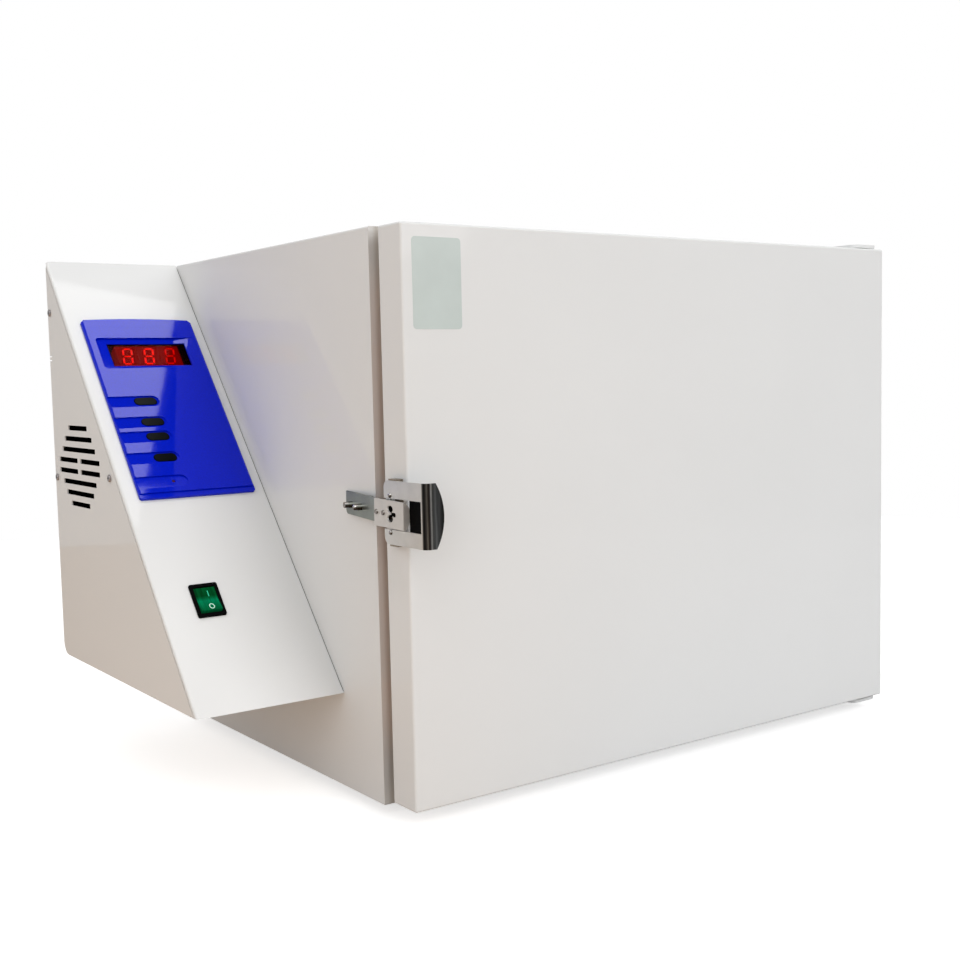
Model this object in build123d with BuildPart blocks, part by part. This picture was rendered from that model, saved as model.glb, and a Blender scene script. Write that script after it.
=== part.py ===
"""Bench-top dry heat sterilizer: insulated cabinet, side-hung door with a lever latch, sloping control box.

Frame: +X to the right of someone facing the door, +Y to the back, +Z up, millimetres.
Origin: on the bench, under the middle of the whole instrument's bounding box.
"""

import os
from math import atan2, cos, degrees, hypot, radians, sin

from build123d import *

# ---------------------------------------------------------------- driving sizes
# Cabinet
case_width = 562.0
case_height = 453.0
case_depth = 374.5
case_sheet = 1.2           # painted steel sheet of every outer cover
case_bend = 1.5            # outside radius of a fold in that sheet
case_flange = 14.0         # width of the folded-in edges of the cabinet's wrap
frame_sheet = 1.2          # front frame behind those folds
seam = 0.2                 # visible seam between two sheets

# Chamber
chamber_width = 420.0
chamber_wall = 56.5        # from the chamber's mouth to the cabinet's top and bottom
chamber_depth = 300.0
chamber_corner = 8.0
liner_sheet = 1.0
liner_flange = 12.0
rear_wool = 40.0           # insulation behind the chamber

# Feet
foot_height = 9.0
foot_radius = 16.0
foot_taper = 2.0
foot_inset = 60.0

# Door
door_width = 561.0
door_thickness = 31.0
door_gap = 15.0            # between the door's back and the cabinet's front
door_lift = 5.4            # door's bottom edge above the cabinet's
door_drop = 1.2            # door's top edge below the cabinet's
door_bend = 2.0
door_flange = 12.0
panel_sheet = 1.0          # stainless inner panel
panel_inset = 6.0
plug_clearance = 5.0       # between the door's plug and the chamber's walls
plug_reach = 3.0           # how far the plug enters the chamber
seal_width = 12.0
seal_side_inset = 9.0
seal_lap = 21.2            # seal's outer edge above and below the chamber's mouth
seal_lift = 2.1            # seal's middle above the chamber's
seal_corner = 24.0
seal_squeeze = 0.3         # gap left between the seal and the frame
label_width = 44.0
label_height = 68.5
label_left = 9.4
label_top_drop = 10.4
label_thickness = 0.2
label_corner = 3.0

# Door hinges
hinge_side_inset = 9.5     # pivot from the door's right edge
hinge_depth = 15.5         # pivot behind the door's front
hinge_plate = 3.0
hinge_plate_width = 35.0
hinge_plate_lap = 45.0     # length of the upper bracket on the cabinet
hinge_plate_corner = 8.0
hinge_tab_height = 25.0    # upright part of the lower bracket on the cabinet's front
hinge_pin_radius = 4.0
hinge_pin_depth = 18.0     # length of the pin inside the door
bush_wall = 3.0
bush_length = 20.0
running_gap = 0.05         # radial clearance of a pin in its bore
lift_washer_gap = 0.2

# Latch lever on the door's left side; distances from the door's side and front
lever_sheet = 1.5
lever_stand_off = 6.5      # outside of the lever's side plate from the door's side
lever_rear = 23.3
lever_reach = 33.5         # front of the grip from the door's front
lever_bend = 5.0
lever_bottom = 211.8       # heights from the cabinet's bottom
lever_top = 260.3
lever_rear_corner = 6.0
window_bottom = 223.2
window_top = 246.8
window_front = 28.0        # front end of the window, ahead of the door's front
grip_reach = 10.3          # right end of the grip at mid height
grip_corner_reach = 3.4    # right end of the grip at its corners
pivot_behind_front = 12.0
pivot_stand_off = 4.0
pivot_pin_radius = 1.2
lug_radius = 2.3
ear_sheet = 1.1
ear_gap = 0.15
bracket_sheet = 1.2
bracket_front = 5.5
bracket_rear = 16.0
cam_rear = 9.5             # rear face of the release cam at the door, ahead of the door's front
cam_slant = 0.9            # the same face lies this much further ahead at the lever
cam_inside = 0.5           # cam's inner side from the door's side plane
cam_overlap = 5.0          # how far the cam reaches behind the lever's arms
rivet_radius = 1.9
rivet_shank = 1.15
rivet_head = 1.0
rivet_behind_front = 14.5
rivet_edge = 2.3           # rivet from the window's edge
latch_screw_radius = 1.5
latch_screw_pitch = 12.0
latch_screw_length = 8.0
latch_screw_head_radius = 2.4
latch_screw_head = 0.7

# Catch strip on the cabinet's left side
arm_sheet = 1.5
plate_sheet = 1.2
catch_sag = 1.5            # degrees that the strip droops towards the door
catch_rear = 90.0          # rear end of the arm, measured back from the door's front
catch_bend = 33.0          # where the flared arm meets the straight plate
arm_height = 18.4
fastener_line = 237.7      # height of the strip's screws and rivets at its rear end
arm_rise = 0.9             # the arm's middle above that line
arm_front_lap = 17.0       # front end of the arm under the plate
plate_height = 21.0
plate_drop = 0.4           # the plate's middle below that line
plate_outside = 9.5        # outer face of the plate from the cabinet's side
plate_front = 8.9          # front end of the plate ahead of the door's front
lip_depth = 3.0            # inner end of the lip from the cabinet's side
arm_start = 1.5            # outer face of the arm's rear end from the cabinet's side
arm_corner = 4.0
wedge_inset = 2.0          # spacer's rear end from the arm's
wedge_length = 38.0
catch_screw_ys = (78.0, 60.0)
catch_screw_radius = 1.5
catch_head_radius = 2.4
catch_head_height = 3.5
catch_nut_radius = 2.6
catch_nut_height = 3.4
catch_rivet_ys = (29.3, 19.4)
catch_rivet_radius = 1.9
catch_rivet_shank = 1.2
catch_rivet_head = 1.1
catch_hole_lobes = ((10.0, 3.6, 4.0, 2.7), (10.0, -3.7, 4.1, 2.8), (4.8, -0.4, 3.0, 1.9))

# Control box on the cabinet's left side
box_width = 130.0
box_bottom = 79.5          # its underside above the cabinet's bottom
box_setback = 58.5         # its front edge behind the cabinet's front
box_corner = 12.0
box_fold = 3.0             # width of the sloping sheet's fold on the side
box_fold_bend = 2.2
box_seam = 0.9             # visible seam between that fold and the side sheet
box_inner_flange = 12.0
box_return = 14.0
vent_centre_back = 69.1    # centre of the slots from the cabinet's back
vent_share = 0.58          # height of the slots' centre as a share of the cabinet's height
vent_pitch = 9.95
vent_slot = 4.5
vent_corner = 0.9
vent_half_lengths = (55.0, 44.9, 37.1, 25.5)
vent_bridge = 6.8
side_screw_places = ((6.5, 404.5), (6.5, 250.0), (149.0, 256.3))
notch_backs = (29.5, 53.5, 232.5, 254.5, 305.5)
notch_size = 1.6           # bend notches in the side's lower edge
slit_heights = (360.2, 363.8)
slit_length = 6.0
slit_width = 1.0
case_screw_radius = 1.7
case_screw_head_radius = 3.3
case_screw_head = 1.6
case_screw_length = 6.0
recess_arm = 3.8           # cross recess of a screw's head
recess_slot = 0.9
recess_sink = 0.9
rear_screw_rise = 80.0
rear_slot_length = 50.0
rear_slot_width = 5.0
rear_slot_pitch = 14.0
rear_slot_rows = 6
rear_slot_side = 34.0      # middle of a column of slots from the cabinet's middle

# Blue key panel on the slope; u from the box's left side, v up from its bottom edge
key_panel_width = 106.5
key_panel_height = 207.0
key_panel_left = 13.2
key_panel_bottom = 207.3
key_panel_thickness = 4.0
key_panel_corner = 2.5
key_panel_crown = 1.7      # the top edge is bowed up by this much
key_panel_cut = 3.0        # slanted top corners
key_panel_bevel = 1.6
ledge_height = 5.0         # step along the panel's lower edge
recess_depth = 1.4
cutout_rim = 5.0           # how far the panel laps over the sheet's cut-out
display_left = 29.8
display_width = 75.1
display_bottom = 354.9
display_height = 28.1
display_recess_left = 20.5
display_recess_right = 116.0
display_recess_bottom = 352.2
display_recess_height = 36.9
display_recess_corner = 3.5
display_recess_depth = 2.1 # along the recess's top edge
display_recess_foot = 0.3  # along its bottom edge
display_ramp = 95.0        # where the recess starts to rise towards its right end
window_rim = 2.0
window_sheet = 1.5
window_top_level = 1.6
digit_pitch = 20.4
first_digit_u = 47.2
digit_v = 369.6
digit_height = 19.6
digit_width = 9.6
digit_lean = 10.0          # degrees
segment_width = 1.7
digit_block_width = 20.0
digit_block_height = 24.0
segment_thickness = 0.3
segment_gap = 0.2
key_u = 47.2
key_length = 20.8
key_height = 8.9
key_vs = (313.0, 289.2, 272.7, 249.2)
key_names = ("mode_button", "raise_button", "lower_button", "start_button")
key_proud = 0.7            # of the channel's floor
key_clearance = 0.3
key_skirt = 2.0
key_skirt_thickness = 1.0
key_stem_radius = 2.0
key_travel = 1.0
channel_right = 60.0
channel_height = 12.4
lamp_u = 47.1
lamp_drop = 25.8           # lamp below the lowest key
lamp_radius = 1.5
board_depth = 11.0         # face of the control board behind the sheet's outside
board_sheet = 1.6
board_edge = 2.0
boss_radius = 3.5
boss_inset = 9.0
tact_size = 6.0
tact_height = 3.5
tact_plunger_radius = 1.75

# Mains rocker switch on the slope
switch_u = 41.3
switch_v = 103.2
switch_rim_width = 24.6
switch_rim_height = 31.7
switch_rim = 1.9
switch_rim_corner = 1.6
switch_body_width = 21.4
switch_body_height = 27.4
switch_body_depth = 20.0
well_width = 19.0
well_height = 25.2
well_depth = 9.0
rocker_width = 18.3
rocker_half = 11.7         # half of the rocker's length
rocker_swing = 12.0        # degrees from on to off
rocker_pivot = 1.5         # pivot behind the sheet's outside
rocker_pin_radius = 1.5
rocker_pin_length = 1.1
rocker_crease = 3.0        # crease at mid length above the pivot
rocker_skirt = 3.0         # the rocker's depth below the pivot

# Fan, heaters and fittings in the chamber
baffle_space = 38.0
baffle_sheet = 1.0
baffle_edge_gap = 10.0
baffle_hole = 4.0
baffle_ring_pitch = 13.0
baffle_rings = 4
fan_radius = 62.0
fan_depth = 22.0
fan_wall_gap = 6.0
fan_disc = 1.5
blade_count = 18
blade_sheet = 1.2
shaft_radius = 4.0
hub_radius = 9.0
motor_radius = 36.0
motor_front_gap = 3.0
motor_length = 55.0
motor_pocket_radius = 40.0
motor_plate = 2.0
motor_plate_width = 100.0
heater_radius = 84.0
heater_tube = 4.0
heater_opening = 14.0      # degrees each side of the bottom
heater_tail = 8.0
heater_knuckle = 0.3       # the bends at the ring's ends are a little thicker
terminal_radius = 6.0
probe_radius = 2.5
probe_back = 252.0         # behind the cabinet's front
probe_height = 5.0         # above the chamber's middle
probe_inside = 45.0
probe_outside = 22.0
rack_sheet = 1.0
rack_ledge = 8.0
rack_ledge_sheet = 1.5
rack_heights = (-110.0, -35.0, 40.0, 115.0)
rack_length = 230.0
rack_front = 14.0
rack_half_height = 140.0
shelf_levels = (0, 1, 2)
shelf_names = ("lower_shelf", "middle_shelf", "upper_shelf")
shelf_sheet = 1.2
shelf_rim = 8.0
shelf_rim_sheet = 3.0
shelf_side_gap = 1.0
shelf_hole = 8.0
shelf_columns = 13
shelf_rows = 7

# Electrical parts in the control box
power_board_width = 100.0
power_board_length = 150.0
power_board_front = 90.0   # behind the box's front edge
pillar_height = 8.0
pillar_radius = 3.0
pillar_inset = 6.0
transformer_size = (48.0, 40.0, 36.0)
transformer_coil = 6.0
sink_size = (40.0, 50.0, 26.0)
sink_fins = 7
sink_fin = 2.0
sink_base = 5.0
relay_size = (16.0, 29.0, 15.0)
terminal_size = (84.0, 16.0, 14.0)
terminal_ways = 8
gland_bore = 4.0
gland_radius = 9.0
gland_flange_radius = 11.5
gland_flange = 4.0
gland_reach = 16.0
gland_inside = 12.0
gland_height = 40.0        # above the box's underside
gland_from_case = 40.0

# ---------------------------------------------------------------- places worked out from them
case_left = (box_width - case_width) / 2
case_right = case_left + case_width
case_middle = (case_left + case_right) / 2
case_bottom = foot_height
chamber_height = case_height - 2 * chamber_wall
case_top = case_bottom + case_height
whole_depth = lever_reach + door_thickness + door_gap + case_depth + gland_reach
door_front = -whole_depth / 2 + lever_reach
door_back = door_front + door_thickness
case_front = door_back + door_gap
case_back = case_front + case_depth

frame_front = case_front + case_sheet
frame_back = frame_front + frame_sheet
rear_plane = case_back - 2 * case_sheet
chamber_level = case_bottom + case_height / 2
liner_half_width = chamber_width / 2 + liner_sheet
liner_half_height = chamber_height / 2 + liner_sheet
liner_front = frame_front - liner_sheet
liner_back = liner_front + chamber_depth + liner_sheet
chamber_rear = liner_back - liner_sheet
wool_back = liner_back + rear_wool

door_left = case_left
door_right = door_left + door_width
door_bottom = case_bottom + door_lift
door_top = case_top - door_drop
panel_back = door_back + panel_sheet
plug_half_width = chamber_width / 2 - plug_clearance
plug_half_height = chamber_height / 2 - plug_clearance
plug_back = liner_front + plug_reach

hinge_x = door_right - hinge_side_inset
hinge_y = door_front + hinge_depth

box_left = case_left - box_width
box_front = case_front + box_setback
box_floor = case_bottom + box_bottom
slope_run = case_back - box_front
slope_rise = case_top - box_floor
slope_length = hypot(slope_run, slope_rise)
slope_cos = slope_run / slope_length
slope_sin = slope_rise / slope_length
slope_plane = Plane(
    origin=(box_left, box_front, box_floor),
    x_dir=(1, 0, 0),
    z_dir=(0, -slope_sin, slope_cos),
)


# ---------------------------------------------------------------- shared helpers
def block(x_span, y_span, z_span, mode=Mode.ADD):
    """Add or cut a box, given its lowest and highest x, y and z."""
    spans = (x_span, y_span, z_span)
    with Locations(tuple((low + high) / 2 for low, high in spans)):
        Box(*(high - low for low, high in spans), mode=mode)


def rod(radius, start, axis, length, mode=Mode.ADD):
    """Add or cut a cylinder that runs from a point along "x", "y" or "z"."""
    turn = {"x": (0, 90, 0), "y": (-90, 0, 0), "z": (0, 0, 0)}[axis]
    with Locations(start):
        Cylinder(radius, length, rotation=turn, align=(Align.CENTER, Align.CENTER, Align.MIN), mode=mode)


def cross_recess(place):
    """Cut a cross into a screw's head; the place has its z axis out of the head."""
    for turn in (0, 90):
        with Locations(place * Location((0, 0, 0), (0, 0, turn))):
            Box(recess_arm, recess_slot, 2 * recess_sink, mode=Mode.SUBTRACT)


def finish(part, name):
    """Name a finished piece and write it."""
    part.label = name
    export_step(part, f"parts/{name}.step")


os.makedirs("parts", exist_ok=True)

# catch strip: x runs in from the cabinet's side, y back from the strip's rear end, z up its drooping height
droop = radians(catch_sag)
catch_place = Plane(
    origin=(case_left, door_front + catch_rear, case_bottom + fastener_line),
    x_dir=(1, 0, 0),
    z_dir=(0, -sin(droop), cos(droop)),
)
plate_inside = plate_outside - plate_sheet
flare_run = catch_rear - catch_bend
flare_out = plate_inside - arm_start
flare_angle = degrees(atan2(flare_out, flare_run))


def arm_outside(y):
    """Distance of the arm's outer face from the cabinet's side, y behind the door's front."""
    return arm_start + flare_out * (catch_rear - y) / flare_run


catch_studs = [
    catch_place.location
    * Location((-arm_outside(y), y - catch_rear, 0), (0, 0, -flare_angle))
    * Location((0, 0, 0), (0, -90, 0))
    for y in catch_screw_ys
]

# ================================================================ cabinet
inner_left = case_left + case_sheet
inner_right = case_right - case_sheet
inner_top = case_top - case_sheet

probe_y = case_front + probe_back
probe_z = chamber_level + probe_height
probe_hole = probe_radius + seam

with BuildPart() as outer_shell:
    block((case_left, case_right), (case_front, case_back), (case_bottom, case_top))
    fillet(outer_shell.edges().filter_by(Axis.Y).group_by(Axis.Z)[-1], radius=case_bend)
    # inside of the wrap, open at the bottom
    block((inner_left, inner_right), (frame_front, rear_plane), (case_bottom - 1, inner_top), Mode.SUBTRACT)
    # mouth inside the folded-in front edges
    mouth_x = (case_left + case_flange, case_right - case_flange)
    mouth_z = (case_bottom - 1, case_top - case_flange)
    block(mouth_x, (case_front - 1, frame_front + 1), mouth_z, Mode.SUBTRACT)
    # the same at the back, with a seat for the rear panel
    block(mouth_x, (rear_plane - 1, case_back + 1), mouth_z, Mode.SUBTRACT)
    rear_seat = (case_back - case_sheet, case_back + 1)
    block((inner_left, inner_right), rear_seat, (case_bottom - 1, inner_top), Mode.SUBTRACT)
    rod(probe_hole, (case_left - 1, probe_y, probe_z), "x", case_sheet + 2, Mode.SUBTRACT)
    for stud in catch_studs:
        with Locations(stud):
            Cylinder(catch_screw_radius + 0.4, 4 * catch_head_height, mode=Mode.SUBTRACT)
finish(outer_shell.part, "outer_shell")

with BuildPart() as base_pan:
    block((inner_left, inner_right), (frame_front, rear_plane), (case_bottom, case_bottom + case_sheet))
    block(mouth_x, (case_front, frame_front), (case_bottom, case_bottom + case_flange))
finish(base_pan.part, "base_pan")

floor_top = case_bottom + case_sheet
with BuildPart() as front_frame:
    block((inner_left, inner_right), (frame_front, frame_back), (floor_top, inner_top))
    block(
        (case_middle - liner_half_width - seam, case_middle + liner_half_width + seam),
        (frame_front - 1, frame_back + 1),
        (chamber_level - liner_half_height - seam, chamber_level + liner_half_height + seam),
        Mode.SUBTRACT,
    )
finish(front_frame.part, "front_frame")

# Mineral wool: two full-height side slabs, two slabs between them and one behind the chamber.
heater_angles = (-90 - heater_opening, -90 + heater_opening)
heater_tails = [
    (case_middle + heater_radius * cos(radians(angle)), chamber_level + heater_radius * sin(radians(angle)))
    for angle in heater_angles
]

with BuildPart() as chamber_insulation:
    wool_y = (frame_back, rear_plane)
    wool_z = (floor_top, inner_top)
    block((inner_left, case_middle - liner_half_width), wool_y, wool_z)
    rod(probe_hole, (inner_left - 1, probe_y, probe_z), "x", case_width / 2, Mode.SUBTRACT)
    block((case_middle + liner_half_width, inner_right), wool_y, wool_z)
    middle_x = (case_middle - liner_half_width + seam, case_middle + liner_half_width - seam)
    block(middle_x, wool_y, (chamber_level + liner_half_height, inner_top))
    block(middle_x, wool_y, (floor_top, chamber_level - liner_half_height))
    rear_z = (chamber_level - liner_half_height + seam, chamber_level + liner_half_height - seam)
    block(middle_x, (liner_back, wool_back), rear_z)
    rod(motor_pocket_radius, (case_middle, liner_back - 1, chamber_level), "y", rear_wool + 2, Mode.SUBTRACT)
    for tail_x, tail_z in heater_tails:
        rod(heater_tube + seam, (tail_x, liner_back - 1, tail_z), "y", rear_wool + 2, Mode.SUBTRACT)
finish(chamber_insulation.part, "chamber_insulation")

with BuildPart() as chamber_liner:
    with BuildSketch(Plane.XZ.offset(-liner_front)):
        with Locations((case_middle, chamber_level)):
            RectangleRounded(2 * liner_half_width, 2 * liner_half_height, chamber_corner + liner_sheet)
    extrude(amount=-(liner_back - liner_front))
    with BuildSketch(Plane.XZ.offset(-liner_front)):
        with Locations((case_middle, chamber_level)):
            Rectangle(2 * (liner_half_width + liner_flange), 2 * (liner_half_height + liner_flange))
    extrude(amount=-liner_sheet)
    with BuildSketch(Plane.XZ.offset(-liner_front)):
        with Locations((case_middle, chamber_level)):
            RectangleRounded(chamber_width, chamber_height, chamber_corner)
    extrude(amount=-chamber_depth, mode=Mode.SUBTRACT)
    rod(shaft_radius + 1.5, (case_middle, chamber_rear - 1, chamber_level), "y", 4, Mode.SUBTRACT)
    for tail_x, tail_z in heater_tails:
        rod(heater_tube + seam, (tail_x, chamber_rear - 1, tail_z), "y", 4, Mode.SUBTRACT)
    left_wall = case_middle - liner_half_width
    rod(probe_hole, (left_wall - 1, probe_y, probe_z), "x", 3, Mode.SUBTRACT)
finish(chamber_liner.part, "chamber_liner")

rear_screw_xs = [case_left + case_flange / 2 + 1, case_middle, case_right - case_flange / 2 - 1]
rear_screw_zs = [case_bottom + rear_screw_rise, chamber_level, case_top - case_flange / 2]
rear_screw_spots = [
    (x, z) for x in rear_screw_xs for z in rear_screw_zs if x != case_middle or z == rear_screw_zs[-1]
]

with BuildPart() as rear_panel:
    panel_y = (case_back - case_sheet, case_back)
    block((inner_left + seam, inner_right - seam), panel_y, (case_bottom, inner_top - seam))
    with BuildSketch(Plane.XZ.offset(-case_back - 1)):
        with Locations((case_middle, chamber_level)):
            with GridLocations(2 * rear_slot_side, rear_slot_pitch, 2, rear_slot_rows):
                SlotOverall(rear_slot_length, rear_slot_width)
    extrude(amount=case_sheet + 3, both=True, mode=Mode.SUBTRACT)
    for x, z in rear_screw_spots:
        rod(case_screw_radius + seam, (x, case_back - case_sheet - 1, z), "y", 4, Mode.SUBTRACT)
finish(rear_panel.part, "rear_panel")

with BuildPart() as rear_screws:
    for x, z in rear_screw_spots:
        rod(case_screw_head_radius, (x, case_back, z), "y", case_screw_head)
        rod(case_screw_radius, (x, case_back - case_sheet, z), "y", case_sheet + 0.1)
    fillet(rear_screws.faces().group_by(Axis.Y)[-1].edges(), radius=case_screw_head / 2)
    for x, z in rear_screw_spots:
        cross_recess(Location((x, case_back + case_screw_head, z), (-90, 0, 0)))
finish(rear_screws.part, "rear_screws")

with BuildPart() as rubber_feet:
    foot_xs = (case_left + foot_inset, case_right - foot_inset)
    foot_ys = (case_front + foot_inset, case_back - foot_inset)
    for foot_x in foot_xs:
        for foot_y in foot_ys:
            with Locations((foot_x, foot_y, foot_height / 2)):
                Cone(foot_radius - foot_taper, foot_radius, foot_height)
finish(rubber_feet.part, "rubber_feet")

# ---------------------------------------------------------------- chamber fittings
motor_front = liner_back + motor_front_gap
with BuildPart() as fan_motor:
    rod(motor_radius, (case_middle, motor_front, chamber_level), "y", motor_length)
    fillet(fan_motor.edges().filter_by(GeomType.CIRCLE), radius=3)
    flange_half = motor_plate_width / 2
    block(
        (case_middle - flange_half, case_middle + flange_half),
        (wool_back, wool_back + motor_plate),
        (chamber_level - flange_half, chamber_level + flange_half),
    )
    bore_start = (case_middle, motor_front - 1, chamber_level)
    rod(shaft_radius + running_gap, bore_start, "y", motor_length - 8, Mode.SUBTRACT)
finish(fan_motor.part, "fan_motor")

with BuildPart() as fan_rotor:
    disc_back = chamber_rear - fan_wall_gap
    disc_front = disc_back - fan_disc
    fan_front = disc_back - fan_depth
    rod(fan_radius, (case_middle, disc_front, chamber_level), "y", fan_disc)
    rod(hub_radius, (case_middle, fan_front, chamber_level), "y", fan_depth)
    shaft_end = motor_front + motor_length - 12
    rod(shaft_radius, (case_middle, disc_back, chamber_level), "y", shaft_end - disc_back)
    blade_inner = fan_radius * 0.55
    with Locations(Location((case_middle, (fan_front + disc_front) / 2, chamber_level), (90, 0, 0))):
        with PolarLocations((blade_inner + fan_radius) / 2, blade_count):
            Box(fan_radius - blade_inner, blade_sheet, disc_front - fan_front, rotation=(0, 0, 30))
finish(fan_rotor.part, "fan_rotor")

with BuildPart() as air_baffle:
    baffle_front = chamber_rear - baffle_space
    half_x = chamber_width / 2 - baffle_edge_gap
    half_z = chamber_height / 2 - baffle_edge_gap
    baffle_x = (case_middle - half_x, case_middle + half_x)
    block(baffle_x, (baffle_front, chamber_rear), (chamber_level - half_z, chamber_level + half_z))
    inner_z = (chamber_level - half_z + baffle_sheet, chamber_level + half_z - baffle_sheet)
    wide_x = (baffle_x[0] - 1, baffle_x[1] + 1)
    block(wide_x, (baffle_front + baffle_sheet, chamber_rear + 1), inner_z, Mode.SUBTRACT)
    with BuildSketch(Plane.XZ.offset(-baffle_front)):
        with Locations((case_middle, chamber_level)):
            Circle(baffle_hole)
            for ring in range(1, baffle_rings + 1):
                with PolarLocations(ring * baffle_ring_pitch, 6 * ring):
                    Circle(baffle_hole)
    extrude(amount=baffle_sheet * 2, both=True, mode=Mode.SUBTRACT)
finish(air_baffle.part, "air_baffle")


# an open ring round the fan, with two tails through the chamber's rear wall
with BuildPart() as ring_heater:
    ring_y = chamber_rear - fan_wall_gap - fan_depth / 2
    tail_end = wool_back + heater_tail
    start_angle = radians(heater_angles[1])
    start = (case_middle + heater_radius * cos(start_angle), chamber_level + heater_radius * sin(start_angle))
    with BuildLine(Plane((case_middle, ring_y, chamber_level), x_dir=(1, 0, 0), z_dir=(0, -1, 0))):
        CenterArc((0, 0), heater_radius, heater_angles[1], 360 - 2 * heater_opening)
    along = (-sin(start_angle), 0, cos(start_angle))
    with BuildSketch(Plane((start[0], ring_y, start[1]), z_dir=along)):
        Circle(heater_tube)
    sweep()
    for tail_x, tail_z in heater_tails:
        with Locations((tail_x, ring_y, tail_z)):
            Sphere(heater_tube + heater_knuckle)
        rod(heater_tube, (tail_x, ring_y, tail_z), "y", tail_end - ring_y)
finish(ring_heater.part, "ring_heater")

with BuildPart() as heater_terminals:
    for tail_x, tail_z in heater_tails:
        rod(terminal_radius, (tail_x, wool_back, tail_z), "y", heater_tail)
        rod(heater_tube + running_gap, (tail_x, wool_back - 1, tail_z), "y", heater_tail + 2, Mode.SUBTRACT)
finish(heater_terminals.part, "heater_terminals")

with BuildPart() as temperature_probe:
    probe_start = case_left - probe_outside
    probe_end = case_middle - chamber_width / 2 + probe_inside
    rod(probe_radius, (probe_start, probe_y, probe_z), "x", probe_end - probe_start)
    fillet(temperature_probe.faces().sort_by(Axis.X)[-1].edges(), radius=probe_radius * 0.9)
finish(temperature_probe.part, "temperature_probe")

rack_y = (case_front + rack_front, case_front + rack_front + rack_length)


def shelf_rack(side):
    """One side rack: a plate on the chamber's wall with a ledge for each shelf level."""
    wall = case_middle + side * chamber_width / 2
    plate_inside = wall - side * rack_sheet
    ledge_inside = wall - side * (rack_sheet + rack_ledge)
    with BuildPart() as rack:
        z_span = (chamber_level - rack_half_height, chamber_level + rack_half_height)
        block(sorted((wall, plate_inside)), rack_y, z_span)
        for height in rack_heights:
            ledge_top = chamber_level + height
            block(sorted((wall, ledge_inside)), rack_y, (ledge_top - rack_ledge_sheet, ledge_top))
    return rack.part


for rack_name, rack_side in (("left_shelf_rack", -1), ("right_shelf_rack", 1)):
    finish(shelf_rack(rack_side), rack_name)

shelf_half = chamber_width / 2 - rack_sheet - shelf_side_gap
for shelf_name, level in zip(shelf_names, shelf_levels):
    shelf_z = chamber_level + rack_heights[level]
    with BuildPart() as shelf:
        shelf_x = (case_middle - shelf_half, case_middle + shelf_half)
        block(shelf_x, rack_y, (shelf_z, shelf_z + shelf_rim_sheet))
        rimmed_x = (shelf_x[0] + shelf_rim, shelf_x[1] - shelf_rim)
        rimmed_y = (rack_y[0] + shelf_rim, rack_y[1] - shelf_rim)
        block(rimmed_x, rimmed_y, (shelf_z + shelf_sheet, shelf_z + shelf_rim_sheet + 1), Mode.SUBTRACT)
        pitch_x = (rimmed_x[1] - rimmed_x[0]) / shelf_columns
        pitch_y = (rimmed_y[1] - rimmed_y[0]) / shelf_rows
        with BuildSketch(Plane.XY.offset(shelf_z)):
            with Locations((case_middle, (rack_y[0] + rack_y[1]) / 2)):
                with GridLocations(pitch_x, pitch_y, shelf_columns, shelf_rows):
                    Circle(shelf_hole)
        extrude(amount=shelf_sheet, mode=Mode.SUBTRACT)
    finish(shelf.part, shelf_name)

# ---------------------------------------------------------------- hinge halves on the cabinet
bracket_x = (hinge_x + hinge_side_inset - hinge_plate_width, hinge_x + hinge_side_inset)
bracket_y = (hinge_y - hinge_side_inset, case_front + hinge_plate_lap)


# a flat bracket over the door's corner, and one under it that turns up against the cabinet's front
with BuildPart() as hinge_brackets:
    upper_z = (case_top, case_top + hinge_plate)
    lower_z = (case_bottom, case_bottom + hinge_plate)
    block(bracket_x, bracket_y, upper_z)
    block(bracket_x, (bracket_y[0], case_front), lower_z)
    fillet(hinge_brackets.edges().filter_by(Axis.Z).group_by(Axis.Y)[0], radius=hinge_plate_corner)
    block(bracket_x, (case_front - hinge_plate, case_front), (case_bottom, case_bottom + hinge_tab_height))
    for bracket_low in (upper_z[0], lower_z[0]):
        bore_start = (hinge_x, hinge_y, bracket_low - 1)
        rod(hinge_pin_radius + running_gap, bore_start, "z", hinge_plate + 2, Mode.SUBTRACT)
finish(hinge_brackets.part, "hinge_brackets")

with BuildPart() as hinge_pins:
    upper_low = door_top - hinge_pin_depth
    rod(hinge_pin_radius, (hinge_x, hinge_y, upper_low), "z", upper_z[1] - upper_low)
    rod(hinge_pin_radius, (hinge_x, hinge_y, lower_z[0]), "z", door_bottom + hinge_pin_depth - lower_z[0])
    collar = door_lift - hinge_plate - lift_washer_gap
    rod(hinge_pin_radius + bush_wall, (hinge_x, hinge_y, lower_z[1]), "z", collar)
finish(hinge_pins.part, "hinge_pins")

# ================================================================ door
bush_radius = hinge_pin_radius + running_gap + bush_wall
hinge_relief = bush_radius + 3

screw_y = door_front + (bracket_front + bracket_rear) / 2
screw_zs = [case_bottom + (window_bottom + window_top) / 2 + side * latch_screw_pitch / 2 for side in (-1, 1)]

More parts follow.
